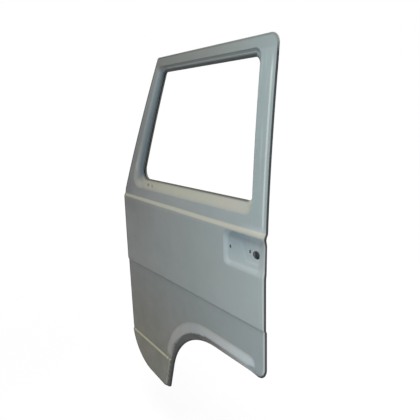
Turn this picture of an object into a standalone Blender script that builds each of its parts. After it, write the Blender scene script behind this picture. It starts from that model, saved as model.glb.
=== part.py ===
"""Left cab door shell of a forward-control van, bare and primed, with nothing hung on it.

Two sheet steel pressings make it: an outer skin, whose edge is hemmed round the flange of an inner panel.
The glass run and the welded reinforcements lie between them. Metres. In the door's own working
coordinates X runs from the hinge edge to the lock edge, Y into the cab and Z up from the lowest point.
A datum empty then puts the origin on the lower hinge face.
"""

import math

import bmesh
import bpy
import numpy as np
from mathutils import Matrix, Vector
from mathutils.geometry import delaunay_2d_cdt, intersect_line_line_2d

# Door outline, seen from outside
DOOR_LENGTH = 1.018
DOOR_HEIGHT = 1.520
PILLAR_FOOT_Z = 0.922
PILLAR_LEAN = 0.5
PILLAR_TOP_X = PILLAR_LEAN * (DOOR_HEIGHT - PILLAR_FOOT_Z)
TAB_REAR_X = 0.343
TAB_FRONT_RISE = 0.033
ARCH_TOP_Z = 0.379
ARCH_CORNER_X = 0.459
ARCH_RADIUS = 0.330
TAB_FRONT_RADIUS = 0.160
TAB_REAR_RADIUS = 0.013
REAR_FOOT_RADIUS = 0.014
REAR_TOP_RADIUS = 0.038
PILLAR_TOP_RADIUS = 0.014
PILLAR_FOOT_RADIUS = 0.080

# Side profile of the skin
BELT_LOW_Z = 0.889
BELT_HIGH_Z = 0.909
BELT_SET_BACK = 0.007
TUMBLEHOME = 0.031
TUMBLEHOME_BEND = 1.7
TUCK_UNDER = 0.031
TUCK_UNDER_BEND = 1.15
CREASE_Z = 0.573
CREASE_FALL = 0.008
CREASE_STEP = 0.004
PAD_CREASE_Z = 0.182
PAD_CREASE_SLOPE = -0.042
PAD_FALL = 0.007
PAD_PROUD = 0.005
BORDER_WIDTH = 0.024
BORDER_X = DOOR_LENGTH - BORDER_WIDTH
BORDER_RUN = 0.004
BORDER_STEP = 0.0012
BORDER_TOP_Z = DOOR_HEIGHT - 0.046
BORDER_FADE_Z = BORDER_TOP_Z - 0.034

# Wheel arch flare
LIP_WIDTH = 0.032
LIP_TUCK = 0.009
FLARE_PROUD = 0.012
FLARE_TOP_Z = 0.454
FLARE_RADIUS = 0.310
FLARE_FRONT_X = 0.312
FLARE_REAR_X = DOOR_LENGTH - 0.052
FLARE_END_RADIUS = 0.034
FLARE_CREST_REAR_X = FLARE_REAR_X - 0.036
FLARE_FADE = 0.090
TUCK_FADE = 0.040

# Window
SILL_Z = 1.003
INNER_SILL_Z = 0.992
HEADER_HEIGHT = 0.059
REAR_PILLAR_WIDTH = 0.094
GLASS_TOP_Z = DOOR_HEIGHT - HEADER_HEIGHT
GLASS_REAR_X = DOOR_LENGTH - REAR_PILLAR_WIDTH
GLASS_FRONT_X = 0.163
GLASS_LEAN = 0.389
GLASS_RADII = (0.040, 0.022, 0.026, 0.014)
LIP_SHOWN = 0.004
RIM_WIDTH = 0.011
RIM_DEPTH = 0.014
BEZEL_SILL_Z = 0.951
BEZEL_FRONT_X = 0.064
BEZEL_TOP_MARGIN = 0.0232
BEZEL_TOP_X = GLASS_FRONT_X + GLASS_LEAN * (GLASS_TOP_Z - SILL_Z) - BEZEL_TOP_MARGIN
BEZEL_STEP = 0.004
BEZEL_RADII = (0.045, 0.022, 0.030, 0.040)

# Handle recess, lock hole and handle slots
RECESS_LENGTH = 0.221
RECESS_FRONT_X = DOOR_LENGTH - RECESS_LENGTH
RECESS_REAR_X = DOOR_LENGTH + 0.017
RECESS_LOW_Z = 0.753
RECESS_HIGH_Z = 0.887
RECESS_FRONT_RAMP = 0.022
RECESS_REAR_RAMP = 0.050
RECESS_LOW_RAMP = 0.024
RECESS_HIGH_RAMP = 0.007
RECESS_LOW_DEPTH = 0.006
RECESS_HIGH_DEPTH = 0.013
SCOOP_DEPTH = 0.005
SCOOP_RAMP = 0.009
SCOOP_TOP_X = RECESS_FRONT_X + 0.069
SCOOP_FOOT_X = RECESS_FRONT_X + 0.115
SCOOP_LOW_Z = 0.788
LOCK_HOLE = (DOOR_LENGTH - 0.052, 0.824)
LOCK_HOLE_RADIUS = 0.0155
SLOT_PLACES = ((RECESS_FRONT_X + 0.031, 0.823), (RECESS_FRONT_X + 0.138, 0.829))
SLOT_SIZE = (0.0075, 0.0120)
MIRROR_HOLES = ((0.226, 0.970), (0.264, 0.970))
MIRROR_HOLE_RADIUS = 0.0034

# Sheet, hem and clearances
SKIN_SHEET = 0.0008
INNER_SHEET = 0.0008
SEAT_GAP = 0.0003
HEM_GAP = 0.0007
HEM_WIDTH = 0.0090
HEM_ROUND = 0.0012
FLANGE_INSET = 0.0026
FLANGE_WIDTH = 0.0127

# Inner panel
FACE_Y = 0.046
FOOT_FACE_Y = 0.058
FACE_SLOPE_TOP_Z = 0.560
FACE_SLOPE_FOOT_Z = 0.450
FRAME_DEPTH = 0.034
FRAME_BLEND_LOW_Z = 0.930
FRAME_BLEND_HIGH_Z = 0.988
WALL_FRONT_RUN = 0.0003
WALL_REAR_RUN = 0.033
WALL_TOP_RUN = 0.012
WALL_PILLAR_RUN = 0.006
WALL_FOOT_RUN = 0.024
WALL_ARCH_RUN = 0.030
FOLD_RADIUS = 0.005
FIELD_MARGIN = 0.034
FIELD_RAMP = 0.010
FIELD_DEPTH = 0.006
FIELD_TOP_Z = 0.905
INNER_RIM_GAP = 0.012

# Openings of the inner panel: corners (x, z, radius)
SERVICE_REAR_X = DOOR_LENGTH - 0.228
SERVICE_OPENING = ((0.345, 0.535, 0.045), (SERVICE_REAR_X, 0.535, 0.045), (SERVICE_REAR_X, 0.735, 0.045),
                   (SERVICE_REAR_X - 0.090, 0.812, 0.040), (0.345, 0.812, 0.045))
FOOT_OPENING = ((0.085, 0.235, 0.045), (0.265, 0.235, 0.045), (0.300, 0.455, 0.045), (0.085, 0.455, 0.045))
LATCH_FRONT_X, LATCH_REAR_X = DOOR_LENGTH - 0.173, DOOR_LENGTH - 0.113
LATCH_OPENING = ((LATCH_FRONT_X, 0.600, 0.024), (LATCH_REAR_X, 0.600, 0.024),
                 (LATCH_REAR_X, 0.700, 0.024), (LATCH_FRONT_X, 0.700, 0.024))
GUIDE_OPENING = ((0.125, 0.560, 0.024), (0.235, 0.560, 0.024), (0.235, 0.770, 0.024), (0.125, 0.770, 0.024))
ROD_FRONT_X, ROD_REAR_X = DOOR_LENGTH - 0.243, DOOR_LENGTH - 0.168
ROD_OPENING = ((ROD_FRONT_X, 0.830, 0.010), (ROD_REAR_X, 0.830, 0.010),
               (ROD_REAR_X, 0.858, 0.010), (ROD_FRONT_X, 0.858, 0.010))
SCREW_HOLES = ((0.430, 0.868), (0.610, 0.868), (0.300, 0.500), (0.420, 0.480), (0.640, 0.480), (0.280, 0.840))
SCREW_HOLE_RADIUS = 0.0045
CLIP_HOLES = ((0.045, 0.900), (0.045, 0.640), (0.045, 0.470), (0.040, 0.215), (0.150, 0.085), (0.280, 0.070),
              (0.550, 0.418), (0.750, 0.428), (DOOR_LENGTH - 0.088, 0.440), (DOOR_LENGTH - 0.068, 0.560),
              (DOOR_LENGTH - 0.068, 0.730), (DOOR_LENGTH - 0.083, 0.900))
CLIP_HOLE_RADIUS = 0.0040

# Glass run channel and its guides inside the door
RUN_OUTER_Y = 0.0152
RUN_WIDTH = 0.0093
RUN_DEPTH = 0.018
RUN_WALL = 0.0012
RUN_FOOT_Z = 0.9855
RUN_PITCH = 0.090
FRONT_GUIDE_FOOT_Z = 0.640
REAR_GUIDE_FOOT_Z = 0.580
BRACKET_SHEET = 0.0015
BRACKET_HEIGHT = 0.026
BRACKET_STEP = 0.004
BRACKET_FOOT = 0.018
FRONT_BRACKET_Z = 0.800
REAR_BRACKET_Z = 0.745

# Hinge, check strap and latch stations
HINGE_ZS = {"lower": 0.300, "upper": 0.780}
HINGE_Y = 0.034
HINGE_BOLT_PITCH = 0.056
BOLT_RADIUS = 0.0045
HINGE_PLATE_HEIGHT = 0.140
HINGE_PLATE_SHEET = 0.0020
HINGE_PLATE_FOOT = 0.006
HINGE_PLATE_LEG = 0.030
TAPPING_PLATE = (0.0060, 0.0108, 0.090)
TAP_RADIUS = 0.0034
CAGE_SHEET = 0.0010
CAGE_WIDTH = 0.010
CAGE_CLEARANCE = 0.0015
CAGE_FOOT = 0.011
CHECK_STRAP_Z = 0.548
CHECK_STRAP_Y = 0.0290
CHECK_SLOT = (0.010, 0.022)
CHECK_PLATE = (0.0015, 0.020, 0.056)
LATCH_Z = 0.812
LATCH_SLOT = (0.014, 0.050)
LATCH_PLATE_SHEET = 0.0015
LATCH_PLATE_HEIGHT = 0.110
LATCH_PLATE_MARGIN = 0.0035
LATCH_PLATE_REACH = 0.0220
LATCH_SCREW_PITCH = 0.078
LATCH_SCREW_RADIUS = 0.0035

# Rails, stiffener and plates
RAIL_FRONT_X = 0.310
RAIL_REAR_X = GLASS_REAR_X - 0.024
RAIL_SHEET = 0.0010
RAIL_FOOT_Z = 0.928
RAIL_BEND_Z = 0.944
RAIL_FACE_Z = 0.960
RAIL_TOP_Z = 0.9985
RAIL_FACE_Y = 0.0233
INNER_RAIL_FRONT_X = 0.205
INNER_RAIL_LOW_Z = 0.934
INNER_RAIL_HIGH_Z = 0.984
INNER_RAIL_FLANGE = 0.010
INNER_RAIL_DEPTH = 0.006
STIFFENER_Z = 0.660
STIFFENER_FRONT_X = 0.0140
STIFFENER_REAR_X = DOOR_LENGTH - 0.030
STIFFENER_SHEET = 0.0010
STIFFENER_FLANGE = 0.013
STIFFENER_CROWN = 0.026
STIFFENER_STAND = 0.0040
STIFFENER_DEPTH = 0.0080
MASTIC_XS = (0.180, 0.400, 0.620, DOOR_LENGTH - 0.178)
MASTIC_RADIUS = 0.0060
HANDLE_PLATE_SHEET = 0.0012
HANDLE_PLATE_INSET = 0.002
HOLE_MARGIN = 0.0008
MIRROR_PLATE = ((0.206, 0.957), (0.286, 0.957), (0.286, 0.980), (0.206, 0.980))
MIRROR_PLATE_SHEET = 0.0015
NUT_RADIUS = 0.0065
NUT_HEIGHT = 0.0045
PULL_PLATE = ((0.400, 0.852), (0.640, 0.852), (0.640, 0.884), (0.400, 0.884))
PULL_PLATE_SHEET = 0.0012
PLATE_GAP = 0.0005
PLATE_BEVEL = 0.0005

# Mesh fineness
SAGITTA = 0.00035
ROW_PITCH = 0.110
SMALLEST_RADIUS = 0.002
WELD = 1e-5

# Side of a surface on which its sheet thickness goes: a pressed blank's faces look towards the street
TO_CAB, TO_STREET = -1, 1


def rounded(corners, closed=True):
    """Turns corners (x, z, radius) into points, with a tangent arc at each; an open run keeps its two ends."""
    points = []
    for i, (x, z, radius) in enumerate(corners):
        corner = Vector((x, z))
        if radius == 0 or (not closed and i in (0, len(corners) - 1)):
            points.append(corner)
            continue
        back = (Vector(corners[i - 1][:2]) - corner).normalized()
        ahead = (Vector(corners[(i + 1) % len(corners)][:2]) - corner).normalized()
        half = back.angle(ahead) / 2
        turn = math.pi - 2 * half
        centre = corner + (back + ahead).normalized() * radius / math.sin(half)
        spoke = corner + back * radius / math.tan(half) - centre
        way = 1 if back.x * ahead.y - back.y * ahead.x < 0 else -1
        steps = max(2, math.ceil(turn / (2 * math.acos(1 - SAGITTA / radius))))
        points += [centre + Matrix.Rotation(way * turn * k / steps, 2) @ spoke for k in range(steps + 1)]
    return points


def divided(points, pitch):
    """The open run with its long sides cut into lengths of about the pitch."""
    found = [points[0]]
    for a, b in zip(points, points[1:]):
        count = max(1, round((b - a).length / pitch))
        found += [a.lerp(b, k / count) for k in range(1, count + 1)]
    return found


def ring(centre, radius, sides=12):
    turns = [2 * math.pi * k / sides for k in range(sides)]
    return [Vector((centre[0] + radius * math.cos(t), centre[1] + radius * math.sin(t))) for t in turns]


def box_loop(centre, size):
    x, z = centre
    dx, dz = size[0] / 2, size[1] / 2
    return [Vector(p) for p in ((x - dx, z - dz), (x + dx, z - dz), (x + dx, z + dz), (x - dx, z + dz))]


def normals_of(points, closed=True):
    """For each point the vector that moves it square off the run by one unit, to the right of the travel."""
    found = []
    count = len(points)
    for i, point in enumerate(points):
        before = points[i - 1] if closed or i else None
        after = points[(i + 1) % count] if closed or i < count - 1 else None
        sides = []
        for a, b in ((before, point), (point, after)):
            if a is not None and b is not None:
                way = (b - a).normalized()
                sides.append(Vector((way.y, -way.x)))
        first, last = sides[0], sides[-1]
        found.append((first + last) / (1 + max(-0.5, first.dot(last))))
    return found


def offset(corners, distance):
    """Moves a closed anticlockwise run of corners (x, z, radius) outwards, so that its sides stay parallel."""
    flat = [Vector(corner[:2]) for corner in corners]
    found = []
    for i, (point, normal) in enumerate(zip(flat, normals_of(flat))):
        back, ahead = point - flat[i - 1], flat[(i + 1) % len(flat)] - point
        grown = distance if back.x * ahead.y > back.y * ahead.x else -distance
        found.append((*(point + normal * distance), max(SMALLEST_RADIUS, corners[i][2] + grown)))
    return found


def segments(path, closed):
    points = np.array([tuple(p) for p in path])
    ends = np.roll(points, -1, axis=0)
    return (points, ends) if closed else (points[:-1], ends[:-1])


def distance_to(x, z, path, closed=True):
    starts, ends = segments(path, closed)
    way = ends - starts
    away = np.array((x, z)) - starts
    share = np.clip((away * way).sum(axis=1) / (way ** 2).sum(axis=1), 0, 1)
    return float(np.sqrt(((away - way * share[:, None]) ** 2).sum(axis=1)).min())


def inside(x, z, loop):
    starts, ends = segments(loop, True)
    spans = (starts[:, 1] > z) != (ends[:, 1] > z)
    rise = np.where(spans, ends[:, 1] - starts[:, 1], 1)
    crossing = starts[:, 0] + (z - starts[:, 1]) * (ends[:, 0] - starts[:, 0]) / rise
    return bool((spans & (x < crossing)).sum() % 2)


def share_across(x, z, outer, inner):
    """0 outside the outer loop, 1 inside the inner loop and the share of the way across between them."""
    if not inside(x, z, outer):
        return 0.0
    if inside(x, z, inner):
        return 1.0
    out, far = distance_to(x, z, outer), distance_to(x, z, inner)
    return out / (out + far)


def clamp(value):
    return min(1.0, max(0.0, value))


def mix(a, b, share):
    return a + (b - a) * share


ARCH_CORNERS = ((TAB_REAR_X, 0.0, TAB_REAR_RADIUS), (ARCH_CORNER_X, ARCH_TOP_Z, ARCH_RADIUS),
                (DOOR_LENGTH, ARCH_TOP_Z, REAR_FOOT_RADIUS))
DOOR_CORNERS = ((0.0, TAB_FRONT_RISE, TAB_FRONT_RADIUS), *ARCH_CORNERS,
                (DOOR_LENGTH, DOOR_HEIGHT, REAR_TOP_RADIUS), (PILLAR_TOP_X, DOOR_HEIGHT, PILLAR_TOP_RADIUS),
                (0.0, PILLAR_FOOT_Z, PILLAR_FOOT_RADIUS))
SKIN_EDGE = rounded(offset(DOOR_CORNERS, -HEM_ROUND))
FLANGE_EDGE = rounded(offset(DOOR_CORNERS, -FLANGE_INSET))
WALL_FOOT = rounded(offset(DOOR_CORNERS, -FLANGE_WIDTH))
ARCH_EDGE = rounded(ARCH_CORNERS, closed=False)


def arch_offset(distance):
    """The arch edge moved up into the panel, from below the tab to past the lock edge."""
    lean = (Vector((ARCH_CORNER_X, ARCH_TOP_Z)) - Vector((TAB_REAR_X, 0))).normalized()
    normal = Vector((-lean.y, lean.x)) * distance
    drop = lean * (0.02 + distance)
    foot = Vector((TAB_REAR_X, 0)) + normal
    top_z = ARCH_TOP_Z + distance
    corner = foot + lean * (top_z - foot.y) / lean.y
    return ((foot - drop).x, (foot - drop).y), (corner.x, top_z, ARCH_RADIUS + distance), top_z


def lip_line():
    foot, corner, top_z = arch_offset(LIP_WIDTH)
    return rounded(((*foot, 0), corner, (DOOR_LENGTH + LIP_WIDTH, top_z, 0)), closed=False)


def flare_loops():
    """Where the flare leaves the panel, and the crest where it meets the lip, each closed below the door."""
    below = -LIP_WIDTH
    outer = rounded(((FLARE_FRONT_X, below, 0), (FLARE_REAR_X, below, 0),
                     (FLARE_REAR_X, FLARE_TOP_Z, FLARE_END_RADIUS),
                     (FLARE_FRONT_X, FLARE_TOP_Z, FLARE_RADIUS)))
    crest_end = Vector((FLARE_CREST_REAR_X, LIP_LINE[-1].y))
    return outer, LIP_LINE[:-1] + [crest_end, Vector((crest_end.x, LIP_LINE[0].y))]


LIP_LINE = lip_line()
FLARE_OUTER, FLARE_CREST = flare_loops()


def window_loop(margin, sill_z, radii=GLASS_RADII):
    """The glass outline grown by a margin at front, top and rear, down to its own sill."""
    slant = margin * math.hypot(1, GLASS_LEAN)
    top_z = GLASS_TOP_Z + margin
    front_top = GLASS_FRONT_X - slant + GLASS_LEAN * (top_z - SILL_Z)
    front_foot = GLASS_FRONT_X - slant + GLASS_LEAN * (sill_z - SILL_Z)
    rear = GLASS_REAR_X + margin
    return rounded(((front_foot, sill_z, radii[0] + margin), (rear, sill_z, radii[3]),
                    (rear, top_z, radii[2] + margin), (front_top, top_z, radii[1] + margin)))


def bezel_loop():
    top_z = GLASS_TOP_Z + LIP_SHOWN + RIM_WIDTH + BEZEL_STEP
    rear = GLASS_REAR_X + LIP_SHOWN + RIM_WIDTH + BEZEL_STEP
    return rounded(((BEZEL_FRONT_X, BEZEL_SILL_Z, BEZEL_RADII[0]), (rear, BEZEL_SILL_Z, BEZEL_RADII[3]),
                    (rear, top_z, BEZEL_RADII[2]), (BEZEL_TOP_X, top_z, BEZEL_RADII[1])))


WINDOW_EDGE = window_loop(LIP_SHOWN, SILL_Z)
WINDOW_RIM = window_loop(LIP_SHOWN + RIM_WIDTH, SILL_Z - 0.0015)
BEZEL_OUTER = bezel_loop()
INNER_WINDOW = window_loop(INNER_RIM_GAP, INNER_SILL_Z)


def recess_loops():
    """Rim of the handle recess, corners of its floor, and rim and floor of the deeper scoop in it."""
    outer = rounded(((RECESS_FRONT_X, RECESS_LOW_Z, 0.034), (RECESS_REAR_X, RECESS_LOW_Z, 0),
                     (RECESS_REAR_X, RECESS_HIGH_Z, 0), (RECESS_FRONT_X, RECESS_HIGH_Z, 0.034)))
    front, rear = RECESS_FRONT_X + RECESS_FRONT_RAMP, RECESS_REAR_X - RECESS_REAR_RAMP
    low, high = RECESS_LOW_Z + RECESS_LOW_RAMP, RECESS_HIGH_Z - RECESS_HIGH_RAMP
    floor = ((front, low, 0.016), (rear, low, 0.012), (rear, high, 0.012), (front, high, 0.024))
    scoop = ((SCOOP_FOOT_X, SCOOP_LOW_Z, 0.014), (rear - 0.001, SCOOP_LOW_Z, 0.012),
             (rear - 0.001, high - 0.001, 0.011), (SCOOP_TOP_X, high - 0.001, 0.014))
    return outer, floor, rounded(scoop), rounded(offset(scoop, -SCOOP_RAMP))


RECESS_OUTER, RECESS_FLOOR, SCOOP_OUTER, SCOOP_INNER = recess_loops()
RECESS_INNER = rounded(RECESS_FLOOR)
HANDLE_SEAT = rounded(offset(RECESS_FLOOR, -HANDLE_PLATE_INSET))


def section_y(z):
    """Depth of the plain skin: tumblehome above the belt ledge, tuck-under and a crease below it."""
    if z >= BELT_HIGH_Z:
        rise = (z - BELT_HIGH_Z) / (DOOR_HEIGHT - BELT_HIGH_Z)
        return BELT_SET_BACK + TUMBLEHOME * rise ** TUMBLEHOME_BEND
    ledge = BELT_SET_BACK * clamp((z - BELT_LOW_Z) / (BELT_HIGH_Z - BELT_LOW_Z))
    fall = max(0.0, BELT_LOW_Z - z) / BELT_LOW_Z
    crease = CREASE_STEP * clamp((CREASE_Z - z) / CREASE_FALL)
    return ledge + TUCK_UNDER * fall ** TUCK_UNDER_BEND + crease


def pad_line_z(x):
    return PAD_CREASE_Z + PAD_CREASE_SLOPE * x


def proud_y(x, z):
    """How far the arch flare and the tab's pad stand out of the plain skin."""
    above_pad = z - pad_line_z(x)
    flare = FLARE_PROUD * share_across(x, z, FLARE_OUTER, FLARE_CREST) * clamp(above_pad / FLARE_FADE)
    return max(flare, PAD_PROUD * clamp(-above_pad / PAD_FALL) * clamp((ARCH_CORNER_X - x) / PAD_FALL))


def recess_y(x, z):
    share = share_across(x, z, RECESS_OUTER, RECESS_INNER)
    up = clamp((z - RECESS_LOW_Z) / (RECESS_HIGH_Z - RECESS_LOW_Z))
    scoop = SCOOP_DEPTH * share_across(x, z, SCOOP_OUTER, SCOOP_INNER)
    return share * mix(RECESS_LOW_DEPTH, RECESS_HIGH_DEPTH, up) + scoop


def skin_y(x, z):
    """Depth of the skin's outer face, with every form that is pressed into it."""
    lip = clamp(1 - distance_to(x, z, ARCH_EDGE, closed=False) / LIP_WIDTH)
    tuck = LIP_TUCK * clamp((DOOR_LENGTH - x) / TUCK_FADE)
    bezel = RIM_DEPTH * share_across(x, z, BEZEL_OUTER, WINDOW_RIM)
    fade = clamp((BORDER_TOP_Z - z) / (BORDER_TOP_Z - BORDER_FADE_Z))
    border = BORDER_STEP * clamp((x - BORDER_X) / BORDER_RUN) * fade
    proud = proud_y(x, z)
    return section_y(z) - proud * (1 - lip) + tuck * lip + bezel + border + recess_y(x, z)


def wall_loops():
    """Top of the inner panel's side wall, and the edge of the flat face past the fold."""
    loops = []
    for fold in (0.0, FOLD_RADIUS):
        front = FLANGE_WIDTH + WALL_FRONT_RUN + fold
        rear = DOOR_LENGTH - FLANGE_WIDTH - WALL_REAR_RUN - fold
        top = DOOR_HEIGHT - FLANGE_WIDTH - WALL_TOP_RUN - fold
        foot_in = FLANGE_WIDTH + WALL_FOOT_RUN + fold
        arch_in = FLANGE_WIDTH + WALL_ARCH_RUN + fold
        _, corner, arch_z = arch_offset(arch_in)
        slope = Vector((ARCH_CORNER_X - TAB_REAR_X, ARCH_TOP_Z)).normalized()
        foot_z = foot_in
        tab_rear = corner[0] - (arch_z - foot_z) * slope.x / slope.y
        pillar = Vector((PILLAR_TOP_X, DOOR_HEIGHT - PILLAR_FOOT_Z)).normalized()
        pillar_in = (FLANGE_WIDTH + WALL_PILLAR_RUN + fold) / pillar.y
        lean = pillar.x / pillar.y
        loops.append(rounded((
            (front, foot_z + TAB_FRONT_RISE, TAB_FRONT_RADIUS * 0.75),
            (tab_rear, foot_z, 0.018), corner, (rear, arch_z, 0.020), (rear, top, 0.020),
            (pillar_in + (top - PILLAR_FOOT_Z) * lean, top, 0.016),
            (front, PILLAR_FOOT_Z + (front - pillar_in) / lean, PILLAR_FOOT_RADIUS),
        )))
    return loops


WALL_TOP, FACE_EDGE = wall_loops()


def field_loops():
    """The shallow field pressed into the inner panel's face, inside its border."""
    front = FLANGE_WIDTH + WALL_FRONT_RUN + FIELD_MARGIN + FOLD_RADIUS
    rear = DOOR_LENGTH - FLANGE_WIDTH - WALL_REAR_RUN - FOLD_RADIUS - FIELD_MARGIN
    _, corner, arch_z = arch_offset(FLANGE_WIDTH + WALL_ARCH_RUN + FIELD_MARGIN)
    slope = (ARCH_CORNER_X - TAB_REAR_X) / ARCH_TOP_Z
    foot_z = FLANGE_WIDTH + WALL_FOOT_RUN + FIELD_MARGIN + TAB_FRONT_RISE
    outer = ((front, foot_z, 0.060), (corner[0] - (arch_z - foot_z) * slope, foot_z, 0.030), corner,
             (rear, arch_z, 0.040), (rear, FIELD_TOP_Z, 0.040), (front, FIELD_TOP_Z, 0.040))
    return rounded(outer), rounded(offset(outer, -FIELD_RAMP))


FIELD_OUTER, FIELD_INNER = field_loops()


def latch_seat():
    """Edge of the latch plate, on the rear wall between its fold and its foot."""
    wall_x = DOOR_LENGTH - FLANGE_WIDTH
    low_x, high_x = wall_x - WALL_REAR_RUN + LATCH_PLATE_MARGIN, wall_x - WALL_REAR_RUN + LATCH_PLATE_REACH
    low_z, high_z = LATCH_Z - LATCH_PLATE_HEIGHT / 2, LATCH_Z + LATCH_PLATE_HEIGHT / 2
    radius = LATCH_PLATE_MARGIN
    return rounded(((low_x, low_z, radius), (high_x, low_z, radius), (high_x, high_z, radius),
                    (low_x, high_z, radius)))


LATCH_SEAT = latch_seat()


def face_y(z):
    """Depth of the inner panel's face, on its side towards the skin."""
    lower = mix(FACE_Y, FOOT_FACE_Y, clamp((FACE_SLOPE_TOP_Z - z) / (FACE_SLOPE_TOP_Z - FACE_SLOPE_FOOT_Z)))
    frame = section_y(max(z, BELT_HIGH_Z)) + FRAME_DEPTH
    return mix(lower, frame, clamp((z - FRAME_BLEND_LOW_Z) / (FRAME_BLEND_HIGH_Z - FRAME_BLEND_LOW_Z)))


def inner_y(x, z):
    """Depth of the inner panel on its side towards the skin: flange, side wall, fold and face."""
    flange = skin_y(x, z) + SKIN_SHEET + HEM_GAP
    if not inside(x, z, WALL_FOOT):
        return flange
    face = face_y(z) - FIELD_DEPTH * share_across(x, z, FIELD_OUTER, FIELD_INNER)
    if inside(x, z, FACE_EDGE):
        return face
    if inside(x, z, WALL_TOP):
        return face - FOLD_RADIUS * (1 - share_across(x, z, WALL_TOP, FACE_EDGE))
    return mix(flange, face - FOLD_RADIUS, share_across(x, z, WALL_FOOT, WALL_TOP))


def rows(levels):
    """Level lines across the blank, at the given heights and evenly between them."""
    lines = []
    for low, high in zip(levels, levels[1:]):
        count = max(1, round((high - low) / ROW_PITCH))
        lines += [mix(low, high, k / count) for k in range(count)]
    reach = (-LIP_WIDTH, DOOR_LENGTH + LIP_WIDTH)
    return [[Vector((reach[0], z)), Vector((reach[1], z))] for z in lines + [levels[-1]]]


def skin_lines():
    """The skin's press lines that reach its edge: level rows, pad, rear border, flare and recess."""
    levels = sorted({TAB_FRONT_RISE, CREASE_Z - CREASE_FALL, CREASE_Z, BELT_LOW_Z, BELT_HIGH_Z, BORDER_FADE_Z,
                     BORDER_TOP_Z})
    pad = [[Vector((-LIP_TUCK, pad_line_z(0) - fall)), Vector((ARCH_CORNER_X, pad_line_z(ARCH_CORNER_X) - fall))]
           for fall in (0, PAD_FALL)]
    border = [upright(x, BORDER_TOP_Z) for x in (BORDER_X, BORDER_X + BORDER_RUN)]
    fade_xs = [DOOR_LENGTH - TUCK_FADE] + [mix(FLARE_CREST_REAR_X, FLARE_REAR_X, k) for k in (0.25, 0.5, 0.75)]
    fade = [upright(x, ARCH_TOP_Z + LIP_WIDTH) for x in fade_xs]
    rungs = (RECESS_LOW_Z + RECESS_LOW_RAMP, mix(RECESS_LOW_Z, RECESS_HIGH_Z, 0.5), RECESS_HIGH_Z - RECESS_HIGH_RAMP)
    fade += [[Vector((BORDER_X, z)), Vector((RECESS_REAR_X, z))] for z in rungs]
    loops = [loop + loop[:1] for loop in (FLARE_OUTER, FLARE_CREST, RECESS_OUTER, RECESS_INNER)]
    return rows(levels) + pad + border + fade + loops + [LIP_LINE]


def face_lines():
    """The inner panel's own level press lines."""
    foot = rows((FACE_SLOPE_FOOT_Z, FACE_SLOPE_FOOT_Z))[:1]
    return foot + rows((FACE_SLOPE_TOP_Z, FRAME_BLEND_LOW_Z)) + rows((FRAME_BLEND_HIGH_Z, DOOR_HEIGHT - 0.03))


def upright(x, top_z):
    """A line straight up from the arch edge."""
    return [Vector((x, ARCH_TOP_Z - LIP_TUCK)), Vector((x, top_z))]


def parts_outside(lines, loop):
    """The stretches of some lines that lie outside a closed loop."""
    found = []
    for a, b in (pair for line in lines for pair in zip(line, line[1:])):
        hits = [intersect_line_line_2d(a, b, c, d) for c, d in zip(loop, loop[1:] + loop[:1])]
        stops = sorted([a, b] + [h for h in hits if h], key=lambda p: (p - a).length)
        for c, d in zip(stops, stops[1:]):
            if (d - c).length > WELD and not inside(*((c + d) / 2), loop):
                found.append([c, d])
    return found


def blank(outline, holes=(), lines=(), closed_lines=()):
    """A flat sheet in XZ cut to the outline and its holes, with an edge along every press line."""
    points, edges = [], []
    runs = [(run, True) for run in (outline, *holes, *closed_lines)] + [(run, False) for run in lines]
    for run, closed in runs:
        first = len(points)
        points += [Vector(p) for p in run]
        edges += [(i, i + 1) for i in range(first, len(points) - 1)]
        if closed:
            edges.append((len(points) - 1, first))
    found, _, triangles, *_ = delaunay_2d_cdt(points, edges, [], 0, WELD)
    bm = bmesh.new()
    verts = [bm.verts.new((p.x, 0, p.y)) for p in found]
    for triangle in triangles:
        x, z = sum((found[i] for i in triangle), Vector((0, 0))) / 3
        if inside(x, z, outline) and not any(inside(x, z, hole) for hole in holes):
            bm.faces.new([verts[i] for i in triangle])
    bmesh.ops.delete(bm, geom=[v for v in bm.verts if not v.link_faces], context="VERTS")
    return bm


def press(bm, depth):
    for vert in bm.verts:
        vert.co.y = depth(vert.co.x, vert.co.z)


def stand_front_wall(bm):
    """Sets the head of the inner panel's front wall plumb over its foot, so that the hinges have a flat face."""
    for vert in bm.verts:
        if abs(vert.co.x - FLANGE_WIDTH - WALL_FRONT_RUN) < WELD:
            vert.co.x = FLANGE_WIDTH


def rims(bm):
    """The sheet's open edges as loops of vertices, each with the sheet on its left, the longest loop first."""
    ahead = {}
    for edge in bm.edges:
        if edge.is_boundary:
            corner = edge.link_loops[0]
            ahead[corner.vert] = corner.link_loop_next.vert
    loops = []
    while ahead:
        loop = [next(iter(ahead))]
        while loop[-1] in ahead:
            loop.append(ahead.pop(loop[-1]))
        loops.append(loop[:-1])
    spans = [max(v.co.x for v in loop) - min(v.co.x for v in loop) for loop in loops]
    return [loops[i] for i in sorted(range(len(loops)), key=lambda i: -spans[i])]


def fold_rim(bm, loop, steps):
    """Turns a rim over: each step says how far out of the sheet it goes and gives its depth at (x, z)."""
    flat = [Vector((v.co.x, v.co.z)) for v in loop]
    outward = normals_of(flat)
    last = loop
    for reach, depth in steps:
        places = [p + n * reach for p, n in zip(flat, outward)]
        fresh = [bm.verts.new((p.x, depth(p.x, p.y), p.y)) for p in places]
        for i in range(len(loop)):
            j = (i + 1) % len(loop)
            bm.faces.new((last[j], last[i], fresh[i], fresh[j]))
        last = fresh


def finish(name, bm, material):
    """Makes the object, shades its round stretches smooth and hangs it on the datum."""
    mesh = bpy.data.meshes.new(name)
    bm.normal_update()
    bm.to_mesh(mesh)
    bm.free()
    mesh.shade_smooth()
    mesh.set_sharp_from_angle(angle=math.radians(24))
    obj = bpy.data.objects.new(name, mesh)
    obj.parent = DATUM
    mesh.materials.append(material)
    PARTS.objects.link(obj)
    return obj


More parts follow.
